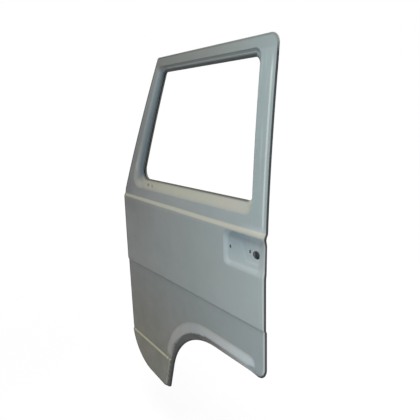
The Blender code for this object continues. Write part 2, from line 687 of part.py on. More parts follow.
def thicken(obj, sheet, side=TO_CAB):
    """Gives an open surface its sheet thickness, on one side."""
    modifier = obj.modifiers.new("sheet", "SOLIDIFY")
    modifier.thickness = sheet
    modifier.offset = side
    modifier.use_even_offset = True
    modifier.use_rim = True
    return obj


def cutter(name, bm, place=Matrix.Identity(4)):
    mesh = bpy.data.meshes.new(name)
    bm.to_mesh(mesh)
    bm.free()
    obj = bpy.data.objects.new(name, mesh)
    obj.matrix_local = place
    obj.parent = DATUM
    obj.hide_render = True
    obj.display_type = "WIRE"
    CUTTERS.objects.link(obj)
    return obj


def drill(name, centre, axis, radius, length, sides=12):
    """A round cutter along an axis, both given in the door's working coordinates."""
    bm = bmesh.new()
    bmesh.ops.create_cone(bm, cap_ends=True, segments=sides, radius1=radius, radius2=radius, depth=length)
    turn = Vector((0, 0, 1)).rotation_difference(Vector(axis)).to_matrix().to_4x4()
    return cutter(name, bm, Matrix.Translation(centre) @ turn)


def block(name, centre, size, turn=Matrix.Identity(4)):
    """A box cutter, turned about its own centre."""
    bm = bmesh.new()
    bmesh.ops.create_cube(bm, size=1, matrix=Matrix.Diagonal((*size, 1)))
    return cutter(name, bm, Matrix.Translation(centre) @ turn)


def cut(obj, *tools):
    for tool in tools:
        modifier = obj.modifiers.new(tool.name, "BOOLEAN")
        modifier.object = tool
        modifier.operation = "DIFFERENCE"
        modifier.solver = "EXACT"
    return obj


def painted(name, colour, roughness, metallic=0.0):
    material = bpy.data.materials.new(name)
    material.use_nodes = True
    shader = material.node_tree.nodes["Principled BSDF"]
    shader.inputs["Base Color"].default_value = (*colour, 1)
    shader.inputs["Roughness"].default_value = roughness
    shader.inputs["Metallic"].default_value = metallic
    return material


def grid(name, rows, sheet, material, side):
    """A folded sheet through rows of points."""
    bm = bmesh.new()
    verts = [[bm.verts.new(point) for point in row] for row in rows]
    for last, following in zip(verts, verts[1:]):
        for i in range(len(last) - 1):
            bm.faces.new((last[i], last[i + 1], following[i + 1], following[i]))
    return thicken(finish(name, bm, material), sheet, side)


def patch(name, loop, depth, sheet, material, holes=(), lines=(), side=TO_CAB):
    """A plate cut to a loop in XZ and pressed to the depth of what it lies on."""
    bm = blank(loop, holes, lines)
    press(bm, depth)
    return thicken(finish(name, bm, material), sheet, side)


def bar(name, centre, size, material):
    """A rectangular plate with broken edges."""
    bm = bmesh.new()
    bmesh.ops.create_cube(bm, size=1, matrix=Matrix.Translation(centre) @ Matrix.Diagonal((*size, 1)))
    obj = finish(name, bm, material)
    bevel = obj.modifiers.new("edges", "BEVEL")
    bevel.width = PLATE_BEVEL
    return obj


def disc(name, centre, axis, radius, height, sides, material):
    bm = bmesh.new()
    turn = Vector((0, 0, 1)).rotation_difference(axis).to_matrix().to_4x4()
    bmesh.ops.create_cone(bm, cap_ends=True, segments=sides, radius1=radius, radius2=radius, depth=height,
                          matrix=Matrix.Translation(centre) @ turn)
    return finish(name, bm, material)


def behind_skin(x, z, lift):
    """A point off the skin's cab side by a lift, and the direction square to the skin there."""
    rise = (skin_y(x, z + WELD) - skin_y(x, z - WELD)) / (2 * WELD)
    square = Vector((0, 1, -rise)).normalized()
    return Vector((x, skin_y(x, z), z)) + square * (SKIN_SHEET + lift), square


def outer_skin():
    """The visible pressing, with the window bezel, handle recess, arch flare and hemmed edge."""
    holes = [WINDOW_EDGE, ring(LOCK_HOLE, LOCK_HOLE_RADIUS, 16)]
    holes += [box_loop(place, SLOT_SIZE) for place in SLOT_PLACES]
    holes += [ring(place, MIRROR_HOLE_RADIUS, 8) for place in MIRROR_HOLES]
    bm = blank(SKIN_EDGE, holes, skin_lines(),
               (FLANGE_EDGE, WALL_FOOT, BEZEL_OUTER, WINDOW_RIM, HANDLE_SEAT, SCOOP_OUTER, SCOOP_INNER))
    press(bm, skin_y)
    stack = 2 * SKIN_SHEET + INNER_SHEET + 2 * HEM_GAP
    steps = [(HEM_ROUND, lambda x, z: skin_y(x, z) + stack / 2), (0, lambda x, z: skin_y(x, z) + stack),
             (HEM_ROUND - HEM_WIDTH, lambda x, z: skin_y(x, z) + stack)]
    fold_rim(bm, rims(bm)[0], steps)
    return thicken(finish("outer_skin", bm, painted("skin_primer", (0.36, 0.41, 0.42), 0.5)), SKIN_SHEET)


def inner_panel():
    """The cab-side pressing: hem flange, side walls, face with its openings, and the window frame's return."""
    holes = [INNER_WINDOW]
    holes += [rounded(c) for c in (SERVICE_OPENING, FOOT_OPENING, LATCH_OPENING, GUIDE_OPENING, ROD_OPENING)]
    holes += [ring(p, SCREW_HOLE_RADIUS, 8) for p in SCREW_HOLES]
    holes += [ring(p, CLIP_HOLE_RADIUS, 8) for p in CLIP_HOLES]
    bm = blank(FLANGE_EDGE, holes, face_lines() + parts_outside(skin_lines(), WALL_FOOT),
               (WALL_FOOT, WALL_TOP, FACE_EDGE, FIELD_OUTER, FIELD_INNER, LATCH_SEAT))
    press(bm, inner_y)
    stand_front_wall(bm)
    back = FRAME_DEPTH - RUN_OUTER_Y - RUN_WIDTH - SEAT_GAP
    fold_rim(bm, rims(bm)[1], [(0, lambda x, z: face_y(z) - back)])
    return thicken(finish("inner_panel", bm, painted("panel_primer", (0.33, 0.37, 0.38), 0.55)), INNER_SHEET)


def run_rows(points, outward):
    """The glass run's U section at each point of the glass edge, open towards the glass."""
    found = []
    for point, square in zip(points, outward):
        far = point + square * RUN_DEPTH
        near_y, far_y = (section_y(max(z, RUN_FOOT_Z)) + RUN_OUTER_Y for z in (point.y, far.y))
        found.append(((point.x, near_y, point.y), (far.x, far_y, far.y),
                      (far.x, far_y + RUN_WIDTH, far.y), (point.x, near_y + RUN_WIDTH, point.y)))
    return found


def window_channel():
    """The run that the glass slides in: up the leaning front edge, along the header and down the rear."""
    lean_x = GLASS_FRONT_X + GLASS_LEAN * (RUN_FOOT_Z - SILL_Z)
    top_x = GLASS_FRONT_X + GLASS_LEAN * (GLASS_TOP_Z - SILL_Z)
    edge = rounded(((lean_x, RUN_FOOT_Z, 0), (top_x, GLASS_TOP_Z, GLASS_RADII[1]),
                    (GLASS_REAR_X, GLASS_TOP_Z, GLASS_RADII[2]), (GLASS_REAR_X, RUN_FOOT_Z, 0)), closed=False)
    points = divided(edge, RUN_PITCH)
    outward = [-square for square in normals_of(points, closed=False)]
    return grid("window_channel", run_rows(points, outward), RUN_WALL,
                painted("run_rubber", (0.02, 0.022, 0.022), 0.8), TO_STREET)


def glass_guides():
    """The run's two straight lengths inside the door, each with the bracket that holds it to the inner panel."""
    front_x = GLASS_FRONT_X + GLASS_LEAN * (RUN_FOOT_Z - SILL_Z)
    top_z = RUN_FOOT_Z - SEAT_GAP
    front = [Vector((front_x, FRONT_GUIDE_FOOT_Z)), Vector((front_x, top_z))]
    rear = [Vector((GLASS_REAR_X, top_z)), Vector((GLASS_REAR_X, REAR_GUIDE_FOOT_Z))]
    for name, points, way in (("front_glass_guide", front, -1), ("rear_glass_guide", rear, 1)):
        grid(name, run_rows(points, [Vector((way, 0))] * 2), RUN_WALL,
             painted(name + "_steel", (0.30, 0.31, 0.31), 0.45, 0.8), TO_STREET)
    guide_bracket("front_guide_bracket", front_x, front_x - RUN_DEPTH, FRONT_BRACKET_Z)
    guide_bracket("rear_guide_bracket", GLASS_REAR_X + RUN_DEPTH, GLASS_REAR_X, REAR_BRACKET_Z)


def guide_bracket(name, leg_rear_x, leg_front_x, z):
    """A stepped strip from the guide's cab side to the inner panel's pressed field."""
    guide_y = section_y(RUN_FOOT_Z) + RUN_OUTER_Y + RUN_WIDTH + SEAT_GAP
    panel_y = face_y(z) - FIELD_DEPTH - SEAT_GAP - BRACKET_SHEET
    bend = leg_front_x - BRACKET_STEP
    profile = ((bend - BRACKET_STEP - BRACKET_FOOT, panel_y), (bend - BRACKET_STEP, panel_y),
               (bend, guide_y), (leg_rear_x - BRACKET_STEP / 2, guide_y))
    ends = (z - BRACKET_HEIGHT / 2, z + BRACKET_HEIGHT / 2)
    return grid(name, [[(x, y, end) for x, y in profile] for end in ends], BRACKET_SHEET,
                painted(name + "_zinc", (0.45, 0.46, 0.46), 0.4, 0.9), TO_CAB)


def waist_rails():
    """Stiff rails along both sides of the glass slot: one behind the bezel, one on the inner panel."""
    foot_y, bend_y = (section_y(z) + SKIN_SHEET + PLATE_GAP for z in (RAIL_FOOT_Z, RAIL_BEND_Z))
    outer = ((RAIL_FOOT_Z, foot_y), (RAIL_BEND_Z, bend_y), (RAIL_FACE_Z, RAIL_FACE_Y), (RAIL_TOP_Z, RAIL_FACE_Y))
    grid("outer_waist_rail", [[(x, y, z) for z, y in outer] for x in (RAIL_FRONT_X, RAIL_REAR_X)],
         RAIL_SHEET, painted("outer_rail_zinc", (0.44, 0.45, 0.45), 0.4, 0.85), TO_STREET)
    low, high = INNER_RAIL_LOW_Z, INNER_RAIL_HIGH_Z
    inner = [(z, face_y(z) - PLATE_GAP - lift) for z, lift in (
        (low, 0), (low + INNER_RAIL_FLANGE, 0),
        (low + INNER_RAIL_FLANGE + INNER_RAIL_DEPTH / 2, INNER_RAIL_DEPTH),
        (high - INNER_RAIL_FLANGE - INNER_RAIL_DEPTH / 2, INNER_RAIL_DEPTH),
        (high - INNER_RAIL_FLANGE, 0), (high, 0))]
    grid("inner_waist_rail", [[(x, y, z) for z, y in inner] for x in (INNER_RAIL_FRONT_X, RAIL_REAR_X)],
         RAIL_SHEET, painted("inner_rail_zinc", (0.42, 0.43, 0.44), 0.4, 0.85), TO_CAB)


def skin_stiffener():
    """A hat-section bar behind the skin's middle, standing on dabs of mastic."""
    half = STIFFENER_CROWN / 2
    places = ((-half - STIFFENER_DEPTH / 2 - STIFFENER_FLANGE, 0), (-half - STIFFENER_DEPTH / 2, 0),
              (-half, STIFFENER_DEPTH), (half, STIFFENER_DEPTH),
              (half + STIFFENER_DEPTH / 2, 0), (half + STIFFENER_DEPTH / 2 + STIFFENER_FLANGE, 0))
    profile = [(STIFFENER_Z + dz, section_y(STIFFENER_Z + dz) + SKIN_SHEET + STIFFENER_STAND + lift)
               for dz, lift in places]
    grid("skin_stiffener", [[(x, y, z) for z, y in profile] for x in (STIFFENER_FRONT_X, STIFFENER_REAR_X)],
         STIFFENER_SHEET, painted("stiffener_zinc", (0.43, 0.44, 0.44), 0.45, 0.8), TO_STREET)
    mastic = painted("mastic", (0.05, 0.05, 0.05), 0.9)
    dab_z = STIFFENER_Z - half - (STIFFENER_DEPTH + STIFFENER_FLANGE) / 2
    for number, x in enumerate(MASTIC_XS, 1):
        centre, square = behind_skin(x, dab_z, STIFFENER_STAND / 2)
        disc(f"mastic_dab_{number}", centre, square, MASTIC_RADIUS, STIFFENER_STAND - 2 * SEAT_GAP, 16, mastic)


def hinge_station(name, panel, z):
    """One hinge's reinforcement: an angle plate in the front fold, a tapping plate and the cage that keeps it."""
    zinc = painted(name + "_hinge_zinc", (0.46, 0.46, 0.45), 0.38, 0.9)
    x = FLANGE_WIDTH + PLATE_GAP
    face = face_y(z)
    profile = ((x, HINGE_Y - HINGE_PLATE_FOOT), (x, face - FOLD_RADIUS - PLATE_GAP),
               (x + FOLD_RADIUS, face - PLATE_GAP), (x + FOLD_RADIUS + HINGE_PLATE_LEG, face - PLATE_GAP))
    ends = (z - HINGE_PLATE_HEIGHT / 2, z + HINGE_PLATE_HEIGHT / 2)
    plate = grid(name + "_hinge_plate", [[(px, py, end) for px, py in profile] for end in ends],
                 HINGE_PLATE_SHEET, zinc, TO_STREET)
    seat_x = x + HINGE_PLATE_SHEET + SEAT_GAP
    thick, _, height = TAPPING_PLATE
    tapping = bar(name + "_tapping_plate", (seat_x + thick / 2, HINGE_Y, z), TAPPING_PLATE,
                  painted(name + "_tapping_steel", (0.32, 0.31, 0.30), 0.45, 0.9))
    top_x, end_z = seat_x + thick + SEAT_GAP, height / 2 + CAGE_CLEARANCE
    fold = ((-end_z - CAGE_FOOT, seat_x), (-end_z, seat_x), (-end_z, top_x),
            (end_z, top_x), (end_z, seat_x), (end_z + CAGE_FOOT, seat_x))
    cage = grid(name + "_hinge_cage", [[(fx, HINGE_Y + side * CAGE_WIDTH / 2, z + dz) for dz, fx in fold]
                                       for side in (-1, 1)], CAGE_SHEET, zinc.copy(), TO_CAB)
    for end, dz in (("low", -HINGE_BOLT_PITCH / 2), ("high", HINGE_BOLT_PITCH / 2)):
        centre = (x, HINGE_Y, z + dz)
        bolt = drill(f"{name}_bolt_{end}", centre, (1, 0, 0), BOLT_RADIUS, 4 * (top_x - x))
        tap = drill(f"{name}_tap_{end}", centre, (1, 0, 0), TAP_RADIUS, 4 * (top_x - x))
        for obj in (panel, plate, cage):
            cut(obj, bolt)
        cut(tapping, tap)


def check_strap_plate(panel):
    x = FLANGE_WIDTH + PLATE_GAP
    plate = bar("check_strap_plate", (x + CHECK_PLATE[0] / 2, CHECK_STRAP_Y, CHECK_STRAP_Z), CHECK_PLATE,
                painted("check_plate_zinc", (0.45, 0.45, 0.46), 0.4, 0.9))
    slot = block("check_slot", (x, CHECK_STRAP_Y, CHECK_STRAP_Z), (4 * HINGE_PLATE_SHEET, *CHECK_SLOT))
    cut(plate, slot)
    cut(panel, slot)


def latch_plate(panel):
    """The plate behind the slanted rear wall, with the latch mouth and screw holes cut through both."""
    plate = patch("latch_plate", LATCH_SEAT, lambda x, z: inner_y(x, z) - 2 * PLATE_GAP, LATCH_PLATE_SHEET,
                  painted("latch_plate_zinc", (0.45, 0.46, 0.45), 0.4, 0.9), lines=face_lines(), side=TO_STREET)
    low_x, high_x = min(p.x for p in LATCH_SEAT), max(p.x for p in LATCH_SEAT)
    mid_x = (low_x + high_x) / 2
    slope = (inner_y(high_x, LATCH_Z) - inner_y(low_x, LATCH_Z)) / (high_x - low_x)
    turn = Matrix.Rotation(math.atan(slope), 4, "Z")
    centre = Vector((mid_x, inner_y(mid_x, LATCH_Z), LATCH_Z))
    cut(plate, block("latch_mouth", centre, (LATCH_SLOT[0], 0.016, LATCH_SLOT[1]), turn))
    cut(panel, CUTTERS.objects["latch_mouth"])
    for end, dz in (("low", -LATCH_SCREW_PITCH / 2), ("high", LATCH_SCREW_PITCH / 2)):
        screw = drill(f"latch_screw_{end}", centre + Vector((0, 0, dz)), turn @ Vector((0, 1, 0)),
                      LATCH_SCREW_RADIUS, 0.016)
        cut(plate, screw)
        cut(panel, screw)


def skin_plates():
    """The plates behind the handle recess and the mirror holes, and the mirror's weld nuts."""
    holes = [ring(LOCK_HOLE, LOCK_HOLE_RADIUS + HOLE_MARGIN, 16)]
    holes += [box_loop(place, [size + 2 * HOLE_MARGIN for size in SLOT_SIZE]) for place in SLOT_PLACES]
    patch("handle_plate", HANDLE_SEAT,
          lambda x, z: skin_y(x, z) + SKIN_SHEET + PLATE_GAP, HANDLE_PLATE_SHEET,
          painted("handle_plate_zinc", (0.44, 0.45, 0.46), 0.42, 0.85), holes,
          [loop + loop[:1] for loop in (SCOOP_OUTER, SCOOP_INNER)])
    zinc = painted("mirror_plate_zinc", (0.46, 0.46, 0.46), 0.4, 0.9)
    patch("mirror_plate", rounded([(*corner, 0.005) for corner in MIRROR_PLATE]),
          lambda x, z: skin_y(x, z) + SKIN_SHEET + PLATE_GAP, MIRROR_PLATE_SHEET, zinc,
          [ring(place, MIRROR_HOLE_RADIUS + HOLE_MARGIN, 12) for place in MIRROR_HOLES])
    for name, (x, z) in zip(("mirror_nut_front", "mirror_nut_rear"), MIRROR_HOLES):
        lift = 2 * PLATE_GAP + MIRROR_PLATE_SHEET + NUT_HEIGHT / 2
        centre, square = behind_skin(x, z, lift)
        nut = disc(name, centre, square, NUT_RADIUS, NUT_HEIGHT, 6, painted(name + "_steel", (0.5, 0.48, 0.4), 0.4, 1))
        cut(nut, drill(name + "_thread", centre, square, MIRROR_HOLE_RADIUS, 2 * NUT_HEIGHT))


def pull_handle_plate():
    """The plate that the inner pull handle's screws bite into, on the inner panel's street side."""
    inside_loop = [Vector(corner) for corner in PULL_PLATE]
    holes = [ring(p, SCREW_HOLE_RADIUS, 8) for p in SCREW_HOLES if inside(*p, inside_loop)]
    patch("pull_handle_plate", rounded([(*corner, 0.004) for corner in PULL_PLATE]),
          lambda x, z: inner_y(x, z) - PLATE_GAP, PULL_PLATE_SHEET,
          painted("pull_plate_zinc", (0.45, 0.46, 0.46), 0.42, 0.85), holes, side=TO_STREET)


def start():
    for obj in list(bpy.data.objects):
        bpy.data.objects.remove(obj)


def collection(name, hidden=False):
    made = bpy.data.collections.new(name)
    made.hide_render = hidden
    bpy.context.scene.collection.children.link(made)
    return made


start()
PARTS = collection("car_door_shell")
CUTTERS = collection("cutters", hidden=True)
DATUM = bpy.data.objects.new("door_datum", None)
DATUM.location = (INNER_SHEET - FLANGE_WIDTH, -HINGE_Y, -HINGE_ZS["lower"])
PARTS.objects.link(DATUM)
outer_skin()
PANEL = inner_panel()
window_channel()
glass_guides()
waist_rails()
skin_stiffener()
for hinge, hinge_z in HINGE_ZS.items():
    hinge_station(hinge, PANEL, hinge_z)
check_strap_plate(PANEL)
latch_plate(PANEL)
skin_plates()
pull_handle_plate()
bpy.context.view_layer.update()
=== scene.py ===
"""Looks of a bare, primed cab door shell: the pressed skin and inner panel, glass run, lamps and camera."""

import math

import bmesh
import bpy
import numpy as np
from mathutils import Matrix, Vector
from mathutils.geometry import delaunay_2d_cdt


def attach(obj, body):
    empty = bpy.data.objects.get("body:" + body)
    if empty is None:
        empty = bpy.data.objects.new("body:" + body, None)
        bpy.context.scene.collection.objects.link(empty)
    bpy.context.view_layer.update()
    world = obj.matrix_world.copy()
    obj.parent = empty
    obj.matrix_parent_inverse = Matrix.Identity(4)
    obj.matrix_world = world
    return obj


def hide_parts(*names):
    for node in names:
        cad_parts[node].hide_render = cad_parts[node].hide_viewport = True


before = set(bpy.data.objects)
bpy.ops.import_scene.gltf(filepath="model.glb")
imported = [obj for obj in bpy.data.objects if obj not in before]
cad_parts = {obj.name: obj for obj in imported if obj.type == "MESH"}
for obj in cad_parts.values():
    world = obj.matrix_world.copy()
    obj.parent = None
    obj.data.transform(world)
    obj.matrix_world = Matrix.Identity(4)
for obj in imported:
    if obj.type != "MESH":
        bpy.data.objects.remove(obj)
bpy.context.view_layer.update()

# The door's own corner in the frame: X from the hinge edge, Y into the cab, Z up from the lowest point
SHIFT = Vector((-0.0119, -0.034, -0.300))

# Outline, seen from the street
DOOR_LENGTH, DOOR_HEIGHT = 1.018, 1.520
PILLAR_FOOT_Z, PILLAR_TOP_X = 0.922, 0.299
TAB_REAR_X, TAB_FRONT_RISE = 0.343, 0.036
ARCH_TOP_Z, ARCH_CORNER_X, ARCH_RADIUS = 0.380, 0.459, 0.348
REAR_FOOT_RADIUS = 0.050
ARCH_CORNERS = ((TAB_REAR_X, 0.0, 0.013), (ARCH_CORNER_X, ARCH_TOP_Z, ARCH_RADIUS),
                (DOOR_LENGTH, ARCH_TOP_Z, REAR_FOOT_RADIUS))
DOOR_CORNERS = ((0.0, TAB_FRONT_RISE, 0.200), *ARCH_CORNERS, (DOOR_LENGTH, DOOR_HEIGHT, 0.038),
                (PILLAR_TOP_X, DOOR_HEIGHT, 0.014), (0.0, PILLAR_FOOT_Z, 0.080))

# Side profile. The belt ledge rises and narrows towards the hinge edge
BELT_LOW_Z, BELT_HIGH_Z, BELT_SET_BACK = 0.889, 0.909, 0.007
BELT_LIFT, BELT_LIFT_X, BELT_LIFT_RUN = 0.0025, 0.70, 0.25
BELT_END_LIFT, BELT_END_RUN = 0.0010, 0.05
BELT_NARROWING, BELT_NARROW_X, BELT_NARROW_RUN = 0.0045, 0.35, 0.30
TUMBLEHOME, TUMBLEHOME_BEND = 0.031, 1.7
TUCK_UNDER, TUCK_UNDER_BEND = 0.031, 1.15
CREASE_Z, CREASE_FALL, CREASE_STEP = 0.573, 0.008, 0.004
PAD_CREASE_Z, PAD_CREASE_SLOPE, PAD_FALL, PAD_PROUD = 0.186, -0.042, 0.010, 0.0055
BORDER_X, BORDER_RUN, BORDER_STEP, BORDER_FADE_Z, BORDER_TOP_Z = 0.994, 0.004, 0.0012, 1.440, 1.474

# Arch flare
LIP_WIDTH, LIP_TUCK, TUCK_FADE = 0.032, 0.009, 0.090
FLARE_PROUD, FLARE_TOP_Z, FLARE_RADIUS = 0.012, 0.450, 0.346
FLARE_FRONT_X, FLARE_REAR_X, FLARE_END_RADIUS, FLARE_CREST_REAR_X = 0.328, 0.966, 0.034, 0.930
FLARE_FADE, FLARE_ROUNDING, ARCH_DROP = 0.090, 0.12, 0.02

# Window
SILL_Z, INNER_SILL_Z, GLASS_TOP_Z = 1.001, 0.991, 1.459
GLASS_REAR_X, GLASS_FRONT_X, GLASS_LEAN = 0.924, 0.157, 0.389
GLASS_RADII = (0.034, 0.022, 0.026, 0.014)
LIP_SHOWN, RIM_WIDTH, RIM_DEPTH, RIM_SILL_Z = 0.004, 0.011, 0.014, SILL_Z - 0.0015
BEZEL_SILL_Z, BEZEL_FRONT_X, BEZEL_TOP_MARGIN, BEZEL_STEP, HEADER_STEP = 0.951, 0.064, 0.0220, 0.004, 0.006
BEZEL_TOP_X = GLASS_FRONT_X + GLASS_LEAN * (GLASS_TOP_Z - SILL_Z) - BEZEL_TOP_MARGIN
BEZEL_RADII, BEZEL_ROUNDING = (0.045, 0.022, 0.030, 0.040), 0.5

# Handle recess and holes
RECESS_FRONT_X, RECESS_REAR_X, RECESS_LOW_Z, RECESS_HIGH_Z = 0.797, 1.035, 0.753, 0.887
RECESS_FRONT_RAMP, RECESS_REAR_RAMP, RECESS_LOW_RAMP, RECESS_HIGH_RAMP = 0.022, 0.050, 0.024, 0.007
RECESS_LOW_DEPTH, RECESS_HIGH_DEPTH, RECESS_ROUNDING = 0.006, 0.013, 0.8
RECESS_RADII, RECESS_FLOOR_RADII = (0.022, 0.034), (0.016, 0.012, 0.012, 0.024)
SCOOP_DEPTH, SCOOP_RAMP, SCOOP_TOP_X, SCOOP_FOOT_X, SCOOP_LOW_Z = 0.0014, 0.009, 0.866, 0.912, 0.788
SCOOP_INSET, SCOOP_RADII = 0.001, (0.014, 0.012, 0.011, 0.014)
LOCK_HOLE, LOCK_HOLE_RADII = (0.963, 0.8235), (0.0172, 0.0142)
SLOT_PLACES, SLOT_SIZE, SLOT_RADIUS = ((0.828, 0.823), (0.932, 0.829)), (0.0075, 0.0120), 0.0015
MIRROR_HOLES, MIRROR_HOLE_RADIUS = ((0.226, 0.970), (0.264, 0.970)), 0.0034

# Sheet and hem
SHEET, SEAT_GAP, HEM_GAP = 0.0008, 0.0003, 0.0007
HEM_WIDTH, HEM_ROUND, FLANGE_INSET, FLANGE_WIDTH = 0.0090, 0.0012, 0.0026, 0.0127

# Inner panel: an opening is its corners with a radius each, or low x, low z, high x, high z and a radius
FACE_Y, FOOT_FACE_Y, FACE_SLOPE_TOP_Z, FACE_SLOPE_FOOT_Z = 0.046, 0.058, 0.560, 0.450
FRAME_DEPTH, FRAME_BLEND_LOW_Z, FRAME_BLEND_HIGH_Z = 0.034, 0.930, 0.988
WALL_FRONT_RUN, WALL_REAR_RUN, WALL_TOP_RUN = 0.0003, 0.033, 0.012
WALL_PILLAR_RUN, WALL_FOOT_RUN, WALL_ARCH_RUN, FOLD_RADIUS = 0.006, 0.024, 0.030, 0.005
WALL_FRONT_RADIUS, WALL_TAB_RADIUS, WALL_REAR_RADIUS, WALL_PILLAR_RADII = 0.120, 0.018, 0.020, (0.016, 0.080)
RETURN_ROLL = 0.0025
FIELD_FRONT_RADIUS, FIELD_TAB_RADIUS, FIELD_RADIUS = 0.060, 0.030, 0.040
FIELD_MARGIN, FIELD_RAMP, FIELD_DEPTH, FIELD_TOP_Z, INNER_RIM_GAP = 0.034, 0.010, 0.006, 0.905, 0.012
SERVICE_OPENING = ((0.345, 0.535, 0.045), (0.790, 0.535, 0.045), (0.790, 0.735, 0.045),
                   (0.700, 0.812, 0.040), (0.345, 0.812, 0.045))
FOOT_OPENING = ((0.085, 0.235, 0.045), (0.265, 0.235, 0.045), (0.300, 0.455, 0.045), (0.085, 0.455, 0.045))
LATCH_OPENING, GUIDE_OPENING = (0.845, 0.600, 0.905, 0.700, 0.024), (0.125, 0.560, 0.235, 0.770, 0.024)
ROD_OPENING = (0.775, 0.830, 0.850, 0.858, 0.010)
SCREW_HOLES = ((0.430, 0.868), (0.610, 0.868), (0.300, 0.500), (0.420, 0.480), (0.640, 0.480), (0.280, 0.840))
CLIP_HOLES = ((0.045, 0.900), (0.045, 0.640), (0.045, 0.470), (0.040, 0.215), (0.150, 0.085), (0.280, 0.070),
              (0.550, 0.418), (0.750, 0.428), (0.930, 0.440), (0.950, 0.560), (0.950, 0.730), (0.935, 0.900))
SCREW_HOLE_RADIUS, CLIP_HOLE_RADIUS = 0.0045, 0.0040

# Glass run
RUN_OUTER_Y, RUN_WIDTH, RUN_DEPTH, RUN_WALL, RUN_FOOT_Z = 0.0152, 0.0093, 0.018, 0.0012, 0.9855

# Stations on the walls
HINGE_ZS, HINGE_Y, HINGE_BOLT_PITCH, BOLT_RADIUS = (0.300, 0.780), 0.034, 0.056, 0.0045
CHECK_STRAP_Z, CHECK_STRAP_Y, CHECK_SLOT = 0.548, 0.029, (0.010, 0.022)
LATCH_Z, LATCH_SLOT, LATCH_SCREW_PITCH, LATCH_SCREW_RADIUS = 0.812, (0.014, 0.050), 0.078, 0.0035
LATCH_LOW_X, LATCH_HIGH_X = 0.9758, 0.9943
HINGE_CUT, LATCH_CUT = 0.010, 0.012

# Ground and camera: lens in millimetres, dip and turn in degrees
GROUND_SIZE, GROUND_Z = 60, -0.62
CAMERA_PLACE, CAMERA_LENS, CAMERA_DIP, CAMERA_TURN = (1.9964, -0.9355, 1.2562), 37.71, 11.35, 53.716

# Bands of painted shade and highlight: how wide they are and where they fade
LIP_BAND, LIP_BAND_LOSS, LIP_BAND_TOP_Z, LIP_BAND_FALL = LIP_WIDTH + 0.003, 0.015, 0.38, 0.16
LIP_BAND_REAR_X, LIP_BAND_FADE, CREST_OFFSET, CREST_WIDTH = 0.93, 0.22, 0.005, 0.004
SOFT_EDGE, MITRE_TOP, MITRE_FRONT = 0.003, 0.006, 0.020
EDGE_BAND, EDGE_BAND_TOP_LOSS, INNER_EDGE_BAND = 0.0095, 0.0028, 0.008

# Mesh fineness
SAGITTA = 0.00004
PITCH, CLEARANCE = 0.0085, 0.45 * 0.0030
WIDE_BOX, WIDE_PITCH = 0.5, PITCH * 0.6
BEND_GAP, BEZEL_GAP = 0.0016, 0.0012
WELD, LEAST_RADIUS = 1e-6, 0.002
RUN_PITCH, HOLE_SIDES, LOCK_SIDES = 0.02, 20, 48
RIM_STEPS, FOLD_STEPS = (0.001, 0.002, 0.003), (0.04, 0.15, 0.35, 0.6)


def rounded(corners, closed=True):
    """Turns corners (x, z, radius) into points, with a tangent arc at each. An open run keeps its ends."""
    points = []
    for i, (x, z, radius) in enumerate(corners):
        corner = Vector((x, z))
        if radius == 0 or (not closed and i in (0, len(corners) - 1)):
            points.append(corner)
            continue
        back = (Vector(corners[i - 1][:2]) - corner).normalized()
        ahead = (Vector(corners[(i + 1) % len(corners)][:2]) - corner).normalized()
        half = back.angle(ahead) / 2
        turn = math.pi - 2 * half
        centre = corner + (back + ahead).normalized() * radius / math.sin(half)
        spoke = corner + back * radius / math.tan(half) - centre
        way = 1 if back.x * ahead.y - back.y * ahead.x < 0 else -1
        steps = max(4, math.ceil(turn / (2 * math.acos(1 - SAGITTA / radius))))
        points += [centre + Matrix.Rotation(way * turn * k / steps, 2) @ spoke for k in range(steps + 1)]
    return points


def normals_of(points, closed=True):
    """For each point the vector that moves it square off the run by one unit, to the right of travel."""
    found = []
    count = len(points)
    for i, point in enumerate(points):
        before = points[i - 1] if closed or i else None
        after = points[(i + 1) % count] if closed or i < count - 1 else None
        sides = []
        for a, b in ((before, point), (point, after)):
            if a is not None and b is not None:
                way = (b - a).normalized()
                sides.append(Vector((way.y, -way.x)))
        first, last = sides[0], sides[-1]
        found.append((first + last) / (1 + max(-0.5, first.dot(last))))
    return found


def offset(corners, distance):
    """Moves a closed anticlockwise run of corners outwards, so that its sides stay parallel."""
    flat = [Vector(corner[:2]) for corner in corners]
    found = []
    for i, (point, normal) in enumerate(zip(flat, normals_of(flat))):
        back, ahead = point - flat[i - 1], flat[(i + 1) % len(flat)] - point
        grown = distance if back.x * ahead.y > back.y * ahead.x else -distance
        found.append((*(point + normal * distance), max(LEAST_RADIUS, corners[i][2] + grown)))
    return found


def divided(points, pitch, closed=True):
    """The run with its long sides cut into lengths of about the pitch."""
    found = []
    for a, b in zip(points, points[1:] + points[:1] if closed else points[1:]):
        count = max(1, round((b - a).length / pitch))
        found += [a.lerp(b, k / count) for k in range(count)]
    return found if closed else found + [points[-1]]


def ring(centre, radius, sides, height=None):
    turns = [2 * math.pi * k / sides for k in range(sides)]
    rise = height or radius
    return [Vector((centre[0] + radius * math.cos(t), centre[1] + rise * math.sin(t))) for t in turns]


def boxed(low_x, low_z, high_x, high_z, radius):
    return [(x, z, radius) for x, z in ((low_x, low_z), (high_x, low_z), (high_x, high_z), (low_x, high_z))]


def arch_offset(distance):
    """The arch edge's corner and foot, moved up into the panel."""
    lean = (Vector((ARCH_CORNER_X, ARCH_TOP_Z)) - Vector((TAB_REAR_X, 0))).normalized()
    foot = Vector((TAB_REAR_X, 0)) + Vector((-lean.y, lean.x)) * distance
    top_z = ARCH_TOP_Z + distance
    corner = foot + lean * (top_z - foot.y) / lean.y
    drop = foot - lean * (ARCH_DROP + distance)
    return (drop.x, drop.y), (corner.x, top_z, ARCH_RADIUS + distance), top_z


